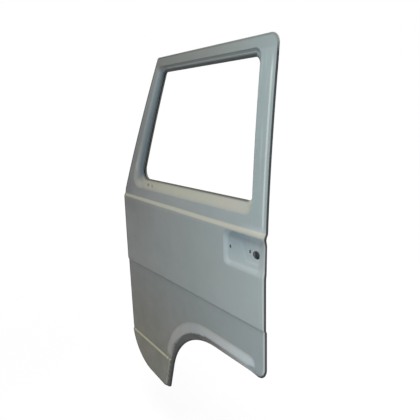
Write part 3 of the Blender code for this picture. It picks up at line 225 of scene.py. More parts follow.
def window_corners(margin, sill_z, radii=GLASS_RADII):
    """Corners of the glass outline grown by a margin at front, top and rear, down to its own sill."""
    slant = margin * math.hypot(1, GLASS_LEAN)
    top_z = GLASS_TOP_Z + margin
    front_top = GLASS_FRONT_X - slant + GLASS_LEAN * (top_z - SILL_Z)
    front_foot = GLASS_FRONT_X - slant + GLASS_LEAN * (sill_z - SILL_Z)
    rear = GLASS_REAR_X + margin
    return ((front_foot, sill_z, radii[0] + margin), (rear, sill_z, radii[3]),
            (rear, top_z, radii[2] + margin), (front_top, top_z, radii[1] + margin))


def flare_loops():
    """Where the flare leaves the panel, and the crest where it meets the lip."""
    foot, corner, top_z = arch_offset(LIP_WIDTH)
    lip = rounded(((*foot, 0), corner, (DOOR_LENGTH + LIP_WIDTH, top_z, 0)), closed=False)
    crest = lip[:-1] + [Vector((FLARE_CREST_REAR_X, top_z)), Vector((FLARE_CREST_REAR_X, foot[1]))]
    return lip, crest


def recess_loops():
    """Rim and floor of the handle recess, and rim and floor of the deeper scoop in it."""
    outer = ((RECESS_FRONT_X, RECESS_LOW_Z, RECESS_RADII[0]), (RECESS_REAR_X, RECESS_LOW_Z, 0),
             (RECESS_REAR_X, RECESS_HIGH_Z, 0), (RECESS_FRONT_X, RECESS_HIGH_Z, RECESS_RADII[1]))
    front, rear = RECESS_FRONT_X + RECESS_FRONT_RAMP, RECESS_REAR_X - RECESS_REAR_RAMP
    low, high = RECESS_LOW_Z + RECESS_LOW_RAMP, RECESS_HIGH_Z - RECESS_HIGH_RAMP
    floor = ((front, low), (rear, low), (rear, high), (front, high))
    floor = [(*corner, radius) for corner, radius in zip(floor, RECESS_FLOOR_RADII)]
    rear, high = rear - SCOOP_INSET, high - SCOOP_INSET
    scoop = ((SCOOP_FOOT_X, SCOOP_LOW_Z), (rear, SCOOP_LOW_Z), (rear, high), (SCOOP_TOP_X, high))
    scoop = [(*corner, radius) for corner, radius in zip(scoop, SCOOP_RADII)]
    return [rounded(c) for c in (outer, floor, scoop, offset(scoop, -SCOOP_RAMP))]


def bezel_corners():
    margin = LIP_SHOWN + RIM_WIDTH + BEZEL_STEP
    top_z, rear = GLASS_TOP_Z + margin + HEADER_STEP, GLASS_REAR_X + margin
    return ((BEZEL_FRONT_X, BEZEL_SILL_Z, BEZEL_RADII[0]), (rear, BEZEL_SILL_Z, BEZEL_RADII[3]),
            (rear, top_z, BEZEL_RADII[2]), (BEZEL_TOP_X, top_z, BEZEL_RADII[1]))


def arch_side(distance, foot_z):
    """The arch's side of a loop at a distance: x where it meets the foot, its corner and its top."""
    _, corner, top_z = arch_offset(distance)
    return corner[0] - (top_z - foot_z) * (ARCH_CORNER_X - TAB_REAR_X) / ARCH_TOP_Z, corner, top_z


def inner_corners(fold):
    """Top of the inner panel's side wall at fold 0, and the edge of its flat face past the fold."""
    inset = FLANGE_WIDTH + fold
    front, rear = inset + WALL_FRONT_RUN, DOOR_LENGTH - inset - WALL_REAR_RUN
    top, foot_z = DOOR_HEIGHT - inset - WALL_TOP_RUN, inset + WALL_FOOT_RUN
    tab_rear, corner, arch_z = arch_side(inset + WALL_ARCH_RUN, foot_z)
    pillar = Vector((PILLAR_TOP_X, DOOR_HEIGHT - PILLAR_FOOT_Z)).normalized()
    pillar_in, lean = (inset + WALL_PILLAR_RUN) / pillar.y, pillar.x / pillar.y
    return ((front, foot_z + TAB_FRONT_RISE, WALL_FRONT_RADIUS), (tab_rear, foot_z, WALL_TAB_RADIUS), corner,
            (rear, arch_z, WALL_REAR_RADIUS), (rear, top, WALL_REAR_RADIUS),
            (pillar_in + (top - PILLAR_FOOT_Z) * lean, top, WALL_PILLAR_RADII[0]),
            (front, PILLAR_FOOT_Z + (front - pillar_in) / lean, WALL_PILLAR_RADII[1]))


def field_corners():
    """The shallow field pressed into the inner panel's face."""
    front = FLANGE_WIDTH + WALL_FRONT_RUN + FIELD_MARGIN + FOLD_RADIUS
    rear = DOOR_LENGTH - FLANGE_WIDTH - WALL_REAR_RUN - FOLD_RADIUS - FIELD_MARGIN
    foot_z = FLANGE_WIDTH + WALL_FOOT_RUN + FIELD_MARGIN + TAB_FRONT_RISE
    tab_rear, corner, arch_z = arch_side(FLANGE_WIDTH + WALL_ARCH_RUN + FIELD_MARGIN, foot_z)
    return ((front, foot_z, FIELD_FRONT_RADIUS), (tab_rear, foot_z, FIELD_TAB_RADIUS), corner,
            (rear, arch_z, FIELD_RADIUS), (rear, FIELD_TOP_Z, FIELD_RADIUS),
            (front, FIELD_TOP_Z, FIELD_RADIUS))


def beside(corners, gap):
    """The run of corners as points, moved out and in by the gap."""
    return [rounded(offset(corners, side * gap)) for side in (1, -1)]


OUTLINE = rounded(DOOR_CORNERS)
ARCH_EDGE = rounded(ARCH_CORNERS, closed=False)
FLARE_CORNERS = ((FLARE_FRONT_X, -LIP_WIDTH, 0.002), (FLARE_REAR_X, -LIP_WIDTH, 0.002),
                 (FLARE_REAR_X, FLARE_TOP_Z, FLARE_END_RADIUS), (FLARE_FRONT_X, FLARE_TOP_Z, FLARE_RADIUS))
FLARE_OUTER = rounded(FLARE_CORNERS)
LIP_LINE, FLARE_CREST = flare_loops()
WINDOW_EDGE = rounded(window_corners(LIP_SHOWN, SILL_Z))
WINDOW_RIM = rounded(window_corners(LIP_SHOWN + RIM_WIDTH, RIM_SILL_Z))
INNER_WINDOW_EDGE = rounded(window_corners(INNER_RIM_GAP, INNER_SILL_Z))
BEZEL_OUTER = rounded(bezel_corners())
RECESS_OUTER, RECESS_INNER, SCOOP_OUTER, SCOOP_INNER = recess_loops()
WALL_FOOT = rounded(offset(DOOR_CORNERS, -FLANGE_WIDTH))
WALL_TOP, FACE_EDGE = rounded(inner_corners(0)), rounded(inner_corners(FOLD_RADIUS))
FIELD_OUTER, FIELD_INNER = rounded(field_corners()), rounded(offset(field_corners(), -FIELD_RAMP))


def segments(path, closed):
    points = np.array([tuple(p) for p in path])
    ends = np.roll(points, -1, axis=0)
    return (points, ends) if closed else (points[:-1], ends[:-1])


def distances(x, z, path, closed=True):
    """Distance of each place (x, z) from a run of points."""
    starts, ends = segments(path, closed)
    way = ends - starts
    keep = (way ** 2).sum(axis=1) > 0
    starts, way = starts[keep], way[keep]
    best = np.full(len(x), np.inf)
    for start, leg in zip(starts, way):
        share = np.clip(((x - start[0]) * leg[0] + (z - start[1]) * leg[1]) / (leg @ leg), 0, 1)
        best = np.minimum(best, (x - start[0] - share * leg[0]) ** 2 + (z - start[1] - share * leg[1]) ** 2)
    return np.sqrt(best)


def inside(x, z, loop):
    crossings = np.zeros(len(x), int)
    for (ax, az), (bx, bz) in zip(*segments(loop, True)):
        if az != bz:
            spans = (az > z) != (bz > z)
            crossings += spans & (x < ax + (z - az) * (bx - ax) / (bz - az))
    return crossings % 2 == 1


def share_across(x, z, outer, inner):
    """0 outside the outer loop, 1 inside the inner loop and the share of the way across between them."""
    out, far = distances(x, z, outer), distances(x, z, inner)
    share = out / (out + far + 1e-9)
    return np.where(inside(x, z, outer), np.where(inside(x, z, inner), 1.0, share), 0.0)


def eased(share, ends=0.35):
    """Clamps a share to 0..1 and rounds the two ends of its ramp."""
    share = np.clip(share, 0, 1)
    return (1 - ends) * share + ends * share * share * (3 - 2 * share)


def soft(share):
    return eased(share, 1.0)


def grown(value, start, run):
    """0 up to the start, 1 from a run past it."""
    return np.clip((value - start) / run, 0, 1)


def shrunk(value, end, run):
    """0 from the end on, 1 up to a run before it."""
    return np.clip((end - value) / run, 0, 1)


def section_y(x, z):
    """Depth of the plain skin: tumblehome above the belt ledge, tuck-under and a crease below it."""
    rise = grown(z, BELT_HIGH_Z, DOOR_HEIGHT - BELT_HIGH_Z)
    lifted = BELT_LIFT * shrunk(x, BELT_LIFT_X, BELT_LIFT_RUN)
    lifted = lifted + BELT_END_LIFT * shrunk(x, BELT_END_RUN, BELT_END_RUN)
    low_z = BELT_LOW_Z + BELT_NARROWING * shrunk(x, BELT_NARROW_X, BELT_NARROW_RUN) + lifted
    ledge = BELT_SET_BACK * soft((z - low_z) / (BELT_HIGH_Z + lifted - low_z))
    fall = shrunk(z, BELT_LOW_Z, BELT_LOW_Z)
    crease = CREASE_STEP * soft((CREASE_Z - z) / CREASE_FALL)
    return ledge + TUMBLEHOME * rise ** TUMBLEHOME_BEND + TUCK_UNDER * fall ** TUCK_UNDER_BEND + crease


def skin_y(x, z):
    """Depth of the skin's outer face, with every form that is pressed into it."""
    lip = np.clip(1 - distances(x, z, ARCH_EDGE, closed=False) / LIP_WIDTH, 0, 1)
    tuck = LIP_TUCK * shrunk(x, DOOR_LENGTH, TUCK_FADE)
    above_pad = z - (PAD_CREASE_Z + PAD_CREASE_SLOPE * x)
    flare = FLARE_PROUD * eased(share_across(x, z, FLARE_OUTER, FLARE_CREST), FLARE_ROUNDING)
    flare *= grown(above_pad, 0, FLARE_FADE)
    pad = PAD_PROUD * soft(-above_pad / PAD_FALL) * shrunk(x, ARCH_CORNER_X, PAD_FALL)
    bezel = RIM_DEPTH * eased(share_across(x, z, BEZEL_OUTER, WINDOW_RIM), BEZEL_ROUNDING)
    fade = shrunk(z, BORDER_TOP_Z, BORDER_TOP_Z - BORDER_FADE_Z)
    border = BORDER_STEP * soft((x - BORDER_X) / BORDER_RUN) * fade
    up = grown(z, RECESS_LOW_Z, RECESS_HIGH_Z - RECESS_LOW_Z)
    recess = eased(share_across(x, z, RECESS_OUTER, RECESS_INNER), RECESS_ROUNDING)
    recess = recess * (RECESS_LOW_DEPTH + (RECESS_HIGH_DEPTH - RECESS_LOW_DEPTH) * up)
    scoop = SCOOP_DEPTH * soft(share_across(x, z, SCOOP_OUTER, SCOOP_INNER))
    return section_y(x, z) - np.maximum(flare, pad) * (1 - lip) + tuck * lip + bezel + border + recess + scoop


def face_y(z):
    """Depth of the inner panel's face, on its side towards the skin."""
    slope = soft((FACE_SLOPE_TOP_Z - z) / (FACE_SLOPE_TOP_Z - FACE_SLOPE_FOOT_Z))
    lower = FACE_Y + (FOOT_FACE_Y - FACE_Y) * slope
    window = section_y(DOOR_LENGTH, np.maximum(z, BELT_HIGH_Z)) + FRAME_DEPTH
    return lower + (window - lower) * soft((z - FRAME_BLEND_LOW_Z) / (FRAME_BLEND_HIGH_Z - FRAME_BLEND_LOW_Z))


def inner_y(x, z):
    """Depth of the inner panel on its side towards the skin: flange, side wall, fold and face."""
    flange = skin_y(x, z) + SHEET + HEM_GAP
    face = face_y(z) - FIELD_DEPTH * soft(share_across(x, z, FIELD_OUTER, FIELD_INNER))
    turned = share_across(x, z, WALL_TOP, FACE_EDGE)
    fold = face - FOLD_RADIUS * (1 - np.sqrt(np.clip(1 - (1 - turned) ** 2, 0, 1)))
    wall = flange + (face - FOLD_RADIUS - flange) * share_across(x, z, WALL_FOOT, WALL_TOP)
    found = np.where(inside(x, z, WALL_TOP), fold, wall)
    return np.where(inside(x, z, FACE_EDGE), face, np.where(inside(x, z, WALL_FOOT), found, flange))


def lattice(dense):
    """Places spread over the door, closer inside the dense boxes (low x, low z, high x, high z, pitch)."""
    def spread(low, high, pitch):
        return np.arange(low + pitch / 2, high, pitch)
    x, z = (a.ravel() for a in np.meshgrid(spread(0, DOOR_LENGTH, PITCH), spread(0, DOOR_HEIGHT, PITCH)))
    sets = []
    for low_x, low_z, high_x, high_z, pitch in dense:
        away = (x < low_x) | (x > high_x) | (z < low_z) | (z > high_z)
        x, z = x[away], z[away]
        pitch_x = max(pitch, WIDE_PITCH) if high_x - low_x > WIDE_BOX else pitch
        across, up = np.meshgrid(spread(low_x, high_x, pitch_x), spread(low_z, high_z, pitch))
        sets.append((across.ravel(), up.ravel()))
    return np.concatenate([x] + [s[0] for s in sets]), np.concatenate([z] + [s[1] for s in sets])


def blank(outline, holes, loops, dense):
    """A flat sheet in XZ cut to the outline and its holes, finely divided, with an edge along every loop."""
    points, edges = [], []
    runs = [(divided(run, PITCH), True) for run in (outline, *holes, *loops["closed"])]
    runs += [(divided(run, PITCH, closed=False), False) for run in loops["open"]]
    for run, closed in runs:
        first = len(points)
        points += [Vector(p) for p in run]
        edges += [(i, i + 1) for i in range(first, len(points) - 1)]
        if closed:
            edges.append((len(points) - 1, first))
    x, z = lattice(dense)
    keep = inside(x, z, outline)
    for run, closed in runs:
        keep &= distances(x, z, run, closed) > CLEARANCE
    points += [Vector(p) for p in zip(x[keep], z[keep])]
    found, _, triangles, *_ = delaunay_2d_cdt(points, edges, [], 0, WELD)
    centres = np.array([[sum(found[i][k] for i in t) / 3 for k in (0, 1)] for t in triangles])
    keep = inside(centres[:, 0], centres[:, 1], outline)
    for hole in holes:
        keep &= ~inside(centres[:, 0], centres[:, 1], hole)
    bm = bmesh.new()
    verts = [bm.verts.new((p.x, 0, p.y)) for p in found]
    for triangle in np.array(triangles)[keep]:
        bm.faces.new([verts[i] for i in triangle])
    bmesh.ops.delete(bm, geom=[v for v in bm.verts if not v.link_faces], context="VERTS")
    return bm


def press(bm, depth):
    bm.verts.ensure_lookup_table()
    places = np.array([v.co for v in bm.verts])
    for vert, y in zip(bm.verts, depth(places[:, 0], places[:, 2])):
        vert.co.y = y


def rims(bm):
    """The sheet's open edges as loops of vertices, the one that reaches furthest along the door first."""
    ahead = {}
    for edge in bm.edges:
        if edge.is_boundary:
            corner = edge.link_loops[0]
            ahead[corner.vert] = corner.link_loop_next.vert
    loops = []
    while ahead:
        loop = [next(iter(ahead))]
        while loop[-1] in ahead:
            loop.append(ahead.pop(loop[-1]))
        loops.append(loop[:-1])
    return sorted(loops, key=lambda loop: min(v.co.x for v in loop) - max(v.co.x for v in loop))


def fold_rim(bm, loop, steps):
    """Turns a rim over: each step says how far out of the sheet it goes and gives its depth at (x, z)."""
    flat = [Vector((v.co.x, v.co.z)) for v in loop]
    outward = normals_of(flat)
    last = loop
    for reach, depth in steps:
        places = np.array([p + n * reach for p, n in zip(flat, outward)])
        fresh = [bm.verts.new((px, y, pz)) for (px, pz), y in zip(places, depth(places[:, 0], places[:, 1]))]
        for i in range(len(loop)):
            j = (i + 1) % len(loop)
            bm.faces.new((last[j], last[i], fresh[i], fresh[j]))
        last = fresh


def linked(name, data):
    obj = bpy.data.objects.new(name, data)
    bpy.context.scene.collection.objects.link(obj)
    return obj


def object_of(name, bm):
    mesh = bpy.data.meshes.new(name)
    bm.to_mesh(mesh)
    bm.free()
    return linked(name, mesh)


def piece(name, bm, node, smooth=35):
    """Makes the object, puts its place in its mesh and hides the CAD node it stands for."""
    bm.normal_update()
    obj = object_of(name, bm)
    obj.data.transform(Matrix.Translation(SHIFT))
    obj.data.shade_smooth()
    obj.data.set_sharp_from_angle(angle=math.radians(smooth))
    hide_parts(node)
    return obj


def apply_modifiers(obj):
    bpy.ops.object.select_all(action="DESELECT")
    obj.select_set(True)
    bpy.context.view_layer.objects.active = obj
    for modifier in list(obj.modifiers):
        bpy.ops.object.modifier_apply(modifier=modifier.name)


def thicken(obj):
    """Gives the sheet its thickness, behind the face that was pressed."""
    modifier = obj.modifiers.new("sheet", "SOLIDIFY")
    modifier.thickness = SHEET
    modifier.offset = -1
    apply_modifiers(obj)


def store(obj, name, values):
    attribute = obj.data.attributes.new(name, "FLOAT", "POINT")
    attribute.data.foreach_set("value", np.asarray(values, np.float32))


def places_of(obj):
    co = np.zeros(len(obj.data.vertices) * 3, np.float32)
    obj.data.vertices.foreach_get("co", co)
    co = co.reshape(-1, 3).astype(float) - np.array(SHIFT)
    return co[:, 0], co[:, 1], co[:, 2]


def outer_skin():
    """The pressed skin with its rolled hem."""
    holes = [WINDOW_EDGE, ring(LOCK_HOLE, LOCK_HOLE_RADII[0], LOCK_SIDES, LOCK_HOLE_RADII[1])]
    dx, dz = SLOT_SIZE[0] / 2, SLOT_SIZE[1] / 2
    holes += [rounded(boxed(x - dx, z - dz, x + dx, z + dz, SLOT_RADIUS)) for x, z in SLOT_PLACES]
    holes += [ring(place, MIRROR_HOLE_RADIUS, HOLE_SIDES) for place in MIRROR_HOLES]
    crest = [rounded(window_corners(LIP_SHOWN + RIM_WIDTH + step, RIM_SILL_Z - step)) for step in RIM_STEPS]
    close = beside(FLARE_CORNERS, BEND_GAP) + beside(bezel_corners(), BEZEL_GAP)
    close += beside(offset(DOOR_CORNERS, -LIP_WIDTH), BEND_GAP)
    loops = {"closed": [WINDOW_RIM, BEZEL_OUTER, FLARE_OUTER, FLARE_CREST, RECESS_OUTER, RECESS_INNER,
                        SCOOP_OUTER, SCOOP_INNER, WALL_FOOT] + crest + close, "open": [LIP_LINE]}
    dense = ((0.0, CREASE_Z - 0.014, DOOR_LENGTH, CREASE_Z + 0.006, 0.002),
             (0.0, BELT_LOW_Z - 0.002, DOOR_LENGTH, BELT_HIGH_Z + 0.004, 0.002),
             (0.0, PAD_CREASE_Z - 0.034, 0.40, PAD_CREASE_Z + 0.006, 0.0025),
             (RECESS_FRONT_X - 0.004, RECESS_LOW_Z - 0.004, DOOR_LENGTH, BELT_LOW_Z - 0.002, 0.0028),
             (BORDER_X - 0.003, BELT_HIGH_Z + 0.004, BORDER_X + 0.007, BORDER_TOP_Z, 0.0025))
    bm = blank(rounded(offset(DOOR_CORNERS, -HEM_ROUND)), holes, loops, dense)
    press(bm, skin_y)
    stack = 3 * SHEET + 2 * HEM_GAP
    steps = [(HEM_ROUND * math.sin(turn),
              lambda x, z, turn=turn: skin_y(x, z) + stack * (1 - math.cos(turn)) / 2)
             for turn in (math.pi * k / 6 for k in range(1, 7))]
    steps.append((HEM_ROUND - HEM_WIDTH, lambda x, z: skin_y(x, z) + stack))
    fold_rim(bm, rims(bm)[0], steps)
    obj = piece("pressed_skin", bm, "outer_skin")
    thicken(obj)
    x, _, z = places_of(obj)
    store(obj, "rim_distance", distances(x, z, OUTLINE))
    store(obj, "recess_share", share_across(x, z, RECESS_OUTER, RECESS_INNER))
    arch_marks(obj, x, z)
    window_marks(obj, x, z)
    return obj


def arch_marks(obj, x, z):
    """Where the lip's painted shade, the painted highlight along the crest beside it on the tab and the
    flare's painted highlight lie.
    """
    away = distances(x, z, ARCH_EDGE, closed=False)
    lip_width = LIP_BAND - LIP_BAND_LOSS * shrunk(z, LIP_BAND_TOP_Z, LIP_BAND_FALL)
    lip = shrunk(away, lip_width + 0.001, SOFT_EDGE)
    store(obj, "lip_shade", lip * shrunk(x, LIP_BAND_REAR_X, LIP_BAND_FADE))
    pad_z = PAD_CREASE_Z + PAD_CREASE_SLOPE * x
    crest = np.clip(1.4 - np.abs(away - lip_width - CREST_OFFSET) / CREST_WIDTH, 0, 1)
    store(obj, "crest_highlight", crest * shrunk(z, pad_z, CREST_WIDTH))
    flare = grown(share_across(x, z, FLARE_OUTER, FLARE_CREST), 0.06, 0.12)
    store(obj, "flare_highlight", flare * grown(z, pad_z, 0.03) * (1 - lip))


def window_marks(obj, x, z):
    """Where the window surround gets painted shade and light: shade on the header step, the leaning front
    slope and the opening's edge, light on the header strip and on the front slope's lit edge.
    """
    corners = [Vector(point[:2]) for point in window_corners(LIP_SHOWN, SILL_Z)]
    sides = [(corners[i], corners[(i + 1) % 4]) for i in range(4)]
    to_sill, to_rear, to_top, to_front = (distances(x, z, side, closed=False) for side in sides)
    share = share_across(x, z, BEZEL_OUTER, WINDOW_RIM)
    by_top = np.clip((np.minimum(to_front, to_rear) - to_top) / MITRE_TOP + 0.5, 0, 1)
    by_front = np.clip((np.minimum(to_top, to_sill) - to_front) / MITRE_FRONT + 0.5, 0, 1)
    by_front *= grown(to_rear, to_front, MITRE_FRONT)
    away = distances(x, z, WINDOW_EDGE)
    store(obj, "header_step_shade", grown(share, 0, 0.10) * shrunk(share, 0.85, 0.3) * by_top)
    store(obj, "header_strip_light", grown(share, 0.85, 0.1) * grown(away, 0.0015, SOFT_EDGE) * by_top)
    store(obj, "front_slope_shade", grown(share, 0.30, 0.6) * by_front)
    store(obj, "front_light", grown(share, 0, 0.10) * shrunk(share, 0.62, 0.3) * by_front)
    edge = shrunk(away, EDGE_BAND - EDGE_BAND_TOP_LOSS * by_top, SOFT_EDGE)
    store(obj, "opening_edge_shade", edge * grown(to_rear, 0.012, 0.01))


def round_cutter(name, centre, axis, radius, length):
    """A cutter for a round hole in a side wall."""
    turn = Vector((0, 0, 1)).rotation_difference(Vector(axis)).to_matrix().to_4x4()
    place = Matrix.Translation(SHIFT) @ (Matrix.Translation(centre) @ turn)
    bm = bmesh.new()
    bmesh.ops.create_cone(bm, cap_ends=True, segments=28, radius1=radius, radius2=radius, depth=length,
                          matrix=place)
    return object_of(name, bm)


def slot_cutter(name, centre, size, turn):
    bm = bmesh.new()
    place = Matrix.Translation(SHIFT) @ (Matrix.Translation(centre) @ turn @ Matrix.Diagonal((*size, 1)))
    bmesh.ops.create_cube(bm, size=1, matrix=place)
    return object_of(name, bm)


def wall_holes():
    """Cutters for the hinge bolts, the check strap and the latch."""
    front_x = FLANGE_WIDTH
    found = [round_cutter("bolt_hole", (front_x, HINGE_Y, z + side * HINGE_BOLT_PITCH / 2), (1, 0, 0),
                          BOLT_RADIUS, HINGE_CUT) for z in HINGE_ZS for side in (-1, 1)]
    found.append(slot_cutter("strap_slot", (front_x, CHECK_STRAP_Y, CHECK_STRAP_Z), (HINGE_CUT, *CHECK_SLOT),
                             Matrix.Identity(4)))
    mid_x = (LATCH_LOW_X + LATCH_HIGH_X) / 2
    low_y, mid_y, high_y = inner_y(np.array((LATCH_LOW_X, mid_x, LATCH_HIGH_X)), np.full(3, LATCH_Z))
    turn = Matrix.Rotation(math.atan((high_y - low_y) / (LATCH_HIGH_X - LATCH_LOW_X)), 4, "Z")
    centre = Vector((mid_x, mid_y, LATCH_Z))
    found.append(slot_cutter("latch_mouth", centre, (LATCH_SLOT[0], LATCH_CUT, LATCH_SLOT[1]), turn))
    found += [round_cutter("latch_screw", centre + Vector((0, 0, side * LATCH_SCREW_PITCH / 2)),
                           turn @ Vector((0, 1, 0)), LATCH_SCREW_RADIUS, LATCH_CUT) for side in (-1, 1)]
    return found


def inner_panel():
    """The cab-side pressing with its openings and the window frame's return."""
    holes = [INNER_WINDOW_EDGE, rounded(SERVICE_OPENING), rounded(FOOT_OPENING)]
    holes += [rounded(boxed(*opening)) for opening in (LATCH_OPENING, GUIDE_OPENING, ROD_OPENING)]
    for places, radius in ((SCREW_HOLES, SCREW_HOLE_RADIUS), (CLIP_HOLES, CLIP_HOLE_RADIUS)):
        holes += [ring(place, radius, HOLE_SIDES) for place in places]
    folds = [rounded(inner_corners(FOLD_RADIUS * k)) for k in FOLD_STEPS]
    loops = {"closed": [WALL_FOOT, WALL_TOP, FACE_EDGE, FIELD_OUTER, FIELD_INNER] + folds, "open": [LIP_LINE]}
    dense = ((0.02, FRAME_BLEND_LOW_Z, 0.98, FRAME_BLEND_HIGH_Z, 0.005),)
    bm = blank(rounded(offset(DOOR_CORNERS, -FLANGE_INSET)), holes, loops, dense)
    press(bm, inner_y)
    for vert in bm.verts:
        if abs(vert.co.x - FLANGE_WIDTH - WALL_FRONT_RUN) < 5 * WELD:
            vert.co.x = FLANGE_WIDTH
    back = FRAME_DEPTH - RUN_OUTER_Y - RUN_WIDTH - SEAT_GAP
    steps = [(RETURN_ROLL * math.sin(turn),
              lambda x, z, turn=turn: face_y(z) - RETURN_ROLL * (1 - math.cos(turn)))
             for turn in (math.pi / 2 * k / 4 for k in range(1, 5))]
    steps.append((RETURN_ROLL, lambda x, z: face_y(z) - back))
    fold_rim(bm, rims(bm)[1], steps)
    obj = piece("pressed_inner_panel", bm, "inner_panel")
    thicken(obj)
    for tool in wall_holes():
        modifier = obj.modifiers.new(tool.name, "BOOLEAN")
        modifier.object = tool
        modifier.solver = "EXACT"
        apply_modifiers(obj)
        bpy.data.objects.remove(tool)
    x, _, z = places_of(obj)
    store(obj, "rim_distance", distances(x, z, OUTLINE))
    store(obj, "opening_edge_shade", shrunk(distances(x, z, INNER_WINDOW_EDGE), INNER_EDGE_BAND, SOFT_EDGE))
    return obj


def window_channel():
    """The flocked run: a U with thickened lips, up the front edge, along the header and down the rear."""
    lean_x = GLASS_FRONT_X + GLASS_LEAN * (RUN_FOOT_Z - SILL_Z)
    top_x = GLASS_FRONT_X + GLASS_LEAN * (GLASS_TOP_Z - SILL_Z)
    edge = rounded(((lean_x, RUN_FOOT_Z, 0), (top_x, GLASS_TOP_Z, GLASS_RADII[1]),
                    (GLASS_REAR_X, GLASS_TOP_Z, GLASS_RADII[2]), (GLASS_REAR_X, RUN_FOOT_Z, 0)), closed=False)
    points = divided(edge, RUN_PITCH, closed=False)
    wall, floor = RUN_WALL, RUN_DEPTH - RUN_WALL
    street_side = [(0.003, wall * 1.9), (0.0008, wall * 1.7), (0, wall * 0.8), (0.0008, 0), (0.004, 0),
                   (floor, 0), (RUN_DEPTH, wall)]
    cab_side = [(out, RUN_WIDTH - across) for out, across in reversed(street_side)]
    hollow = [(0.005, RUN_WIDTH - wall), (floor, RUN_WIDTH - wall), (floor, wall), (0.005, wall)]
    section = street_side + cab_side + hollow
    bm = bmesh.new()
    rows = []
    for point, square in zip(points, normals_of(points, closed=False)):
        row = []
        for out, across in section:
            place = point - square * out
            y = float(section_y(DOOR_LENGTH, max(place.y, RUN_FOOT_Z))) + RUN_OUTER_Y + across
            row.append(bm.verts.new((place.x, y, place.y)))
        rows.append(row)
    for last, following in zip(rows, rows[1:]):
        for i in range(len(section)):
            j = (i + 1) % len(section)
            bm.faces.new((last[i], last[j], following[j], following[i]))
    bm.faces.new(rows[0])
    bm.faces.new(rows[-1][::-1])
    bmesh.ops.recalc_face_normals(bm, faces=bm.faces[:])
    return piece("flocked_run", bm, "window_channel", smooth=50)


def node(tree, kind, inputs=(), **settings):
    """Adds a node, sets what it says and joins or fills its inputs."""
    made = tree.nodes.new(kind)
    for key, value in settings.items():
        setattr(made, key, value)
    for key, value in dict(inputs).items():
        if isinstance(value, bpy.types.NodeSocket):
            tree.links.new(value, made.inputs[key])
        else:
            made.inputs[key].default_value = value
    return made


def math_node(tree, operation, *values):
    return node(tree, "ShaderNodeMath", dict(enumerate(values)), operation=operation).outputs[0]


def mixed(tree, share, first, second, blend="MIX"):
    """Mixes two colours, each a socket or three numbers."""
    ends = [(*end, 1) if isinstance(end, tuple) else end for end in (first, second)]
    made = node(tree, "ShaderNodeMix", {0: share, 6: ends[0], 7: ends[1]}, data_type="RGBA", blend_type=blend)
    return made.outputs[2]


def ramped(tree, value, low, high, to_low=0.0, to_high=1.0):
    made = node(tree, "ShaderNodeMapRange", {"Value": value, "From Min": low, "From Max": high,
                                             "To Min": to_low, "To Max": to_high}, clamp=True)
    return made.outputs["Result"]


def product(tree, *masks):
    """Multiplies masks. Each is a socket, a number or a ramp: (value, low, high) and what it gives there."""
    parts = [ramped(tree, *mask) if isinstance(mask, tuple) else mask for mask in masks]
    found = parts[0]
    for part in parts[1:]:
        found = math_node(tree, "MULTIPLY", found, part)
    return found


def overlaid(tree, colour, tones, blend="MIX"):
    """Lays tones over the colour in turn. Each row is a tone and the masks that bound it."""
    for tone, *masks in tones:
        colour = mixed(tree, product(tree, *masks), colour, tone, blend)
    return colour


def noise(tree, place, scale, detail, **more):
    inputs = {"Vector": place, "Scale": scale, "Detail": detail, **more}
    return node(tree, "ShaderNodeTexNoise", inputs).outputs["Fac"]


def new_group(name, output, **inputs):
    """A shared group: a place and some numbers go in, one number comes out."""
    group = bpy.data.node_groups.new(name, "ShaderNodeTree")
    group.interface.new_socket(name="Place", in_out="INPUT", socket_type="NodeSocketVector")
    for key, value in inputs.items():
        made = group.interface.new_socket(name=key, in_out="INPUT", socket_type="NodeSocketFloat")
        made.default_value = value
    group.interface.new_socket(name=output, in_out="OUTPUT", socket_type="NodeSocketFloat")
    return group, group.nodes.new("NodeGroupInput").outputs, group.nodes.new("NodeGroupOutput").inputs[output]


def patches_group():
    """Cloudy patches: a mask from noise with fine detail."""
    group, given, result = new_group("cloudy_patches", "Mask", Scale=8.0, Cover=0.5, Softness=0.2)
    cloud = noise(group, given["Place"], given["Scale"], 6.0, Roughness=0.62, Distortion=0.4)
    low = math_node(group, "SUBTRACT", given["Cover"], given["Softness"])
    high = math_node(group, "ADD", given["Cover"], given["Softness"])
    group.links.new(ramped(group, cloud, low, high), result)
    return group


def streaks_group():
    """Upright rubbed streaks: noise stretched along Z."""
    group, given, result = new_group("upright_streaks", "Mask", Scale=60.0, Cover=0.6)
    stretch = node(group, "ShaderNodeVectorMath", {0: given["Place"], 1: (1.0, 1.0, 0.035)},
                   operation="MULTIPLY")
    lines = noise(group, stretch.outputs[0], given["Scale"], 3.0, Roughness=0.5)
    high = math_node(group, "ADD", given["Cover"], 0.14)
    group.links.new(ramped(group, lines, given["Cover"], high), result)
    return group


def peel_group():
    """Height of sprayed primer: fine orange peel over faint ripples of the pressing."""
    group, given, result = new_group("sprayed_height", "Height", Grain=900.0, Ripple=0.5)
    lifted = product(group, noise(group, given["Place"], 9.0, 1.0), given["Ripple"])
    small = product(group, noise(group, given["Place"], given["Grain"], 2.0), 0.12)
    group.links.new(math_node(group, "ADD", lifted, small), result)
    return group


PATCHES, STREAKS, PEEL = patches_group(), streaks_group(), peel_group()


def grouped(tree, group, **inputs):
    return node(tree, "ShaderNodeGroup", inputs, node_tree=group).outputs[0]


def patchy(tree, place, scale, cover, softness):
    return grouped(tree, PATCHES, Place=place, Scale=scale, Cover=cover, Softness=softness)


def new_material(name):
    material = bpy.data.materials.new(name)
    material.use_nodes = True
    tree = material.node_tree
    shader = tree.nodes["Principled BSDF"]
    place = tree.nodes.new("ShaderNodeTexCoord").outputs["Object"]
    return material, tree, shader, place


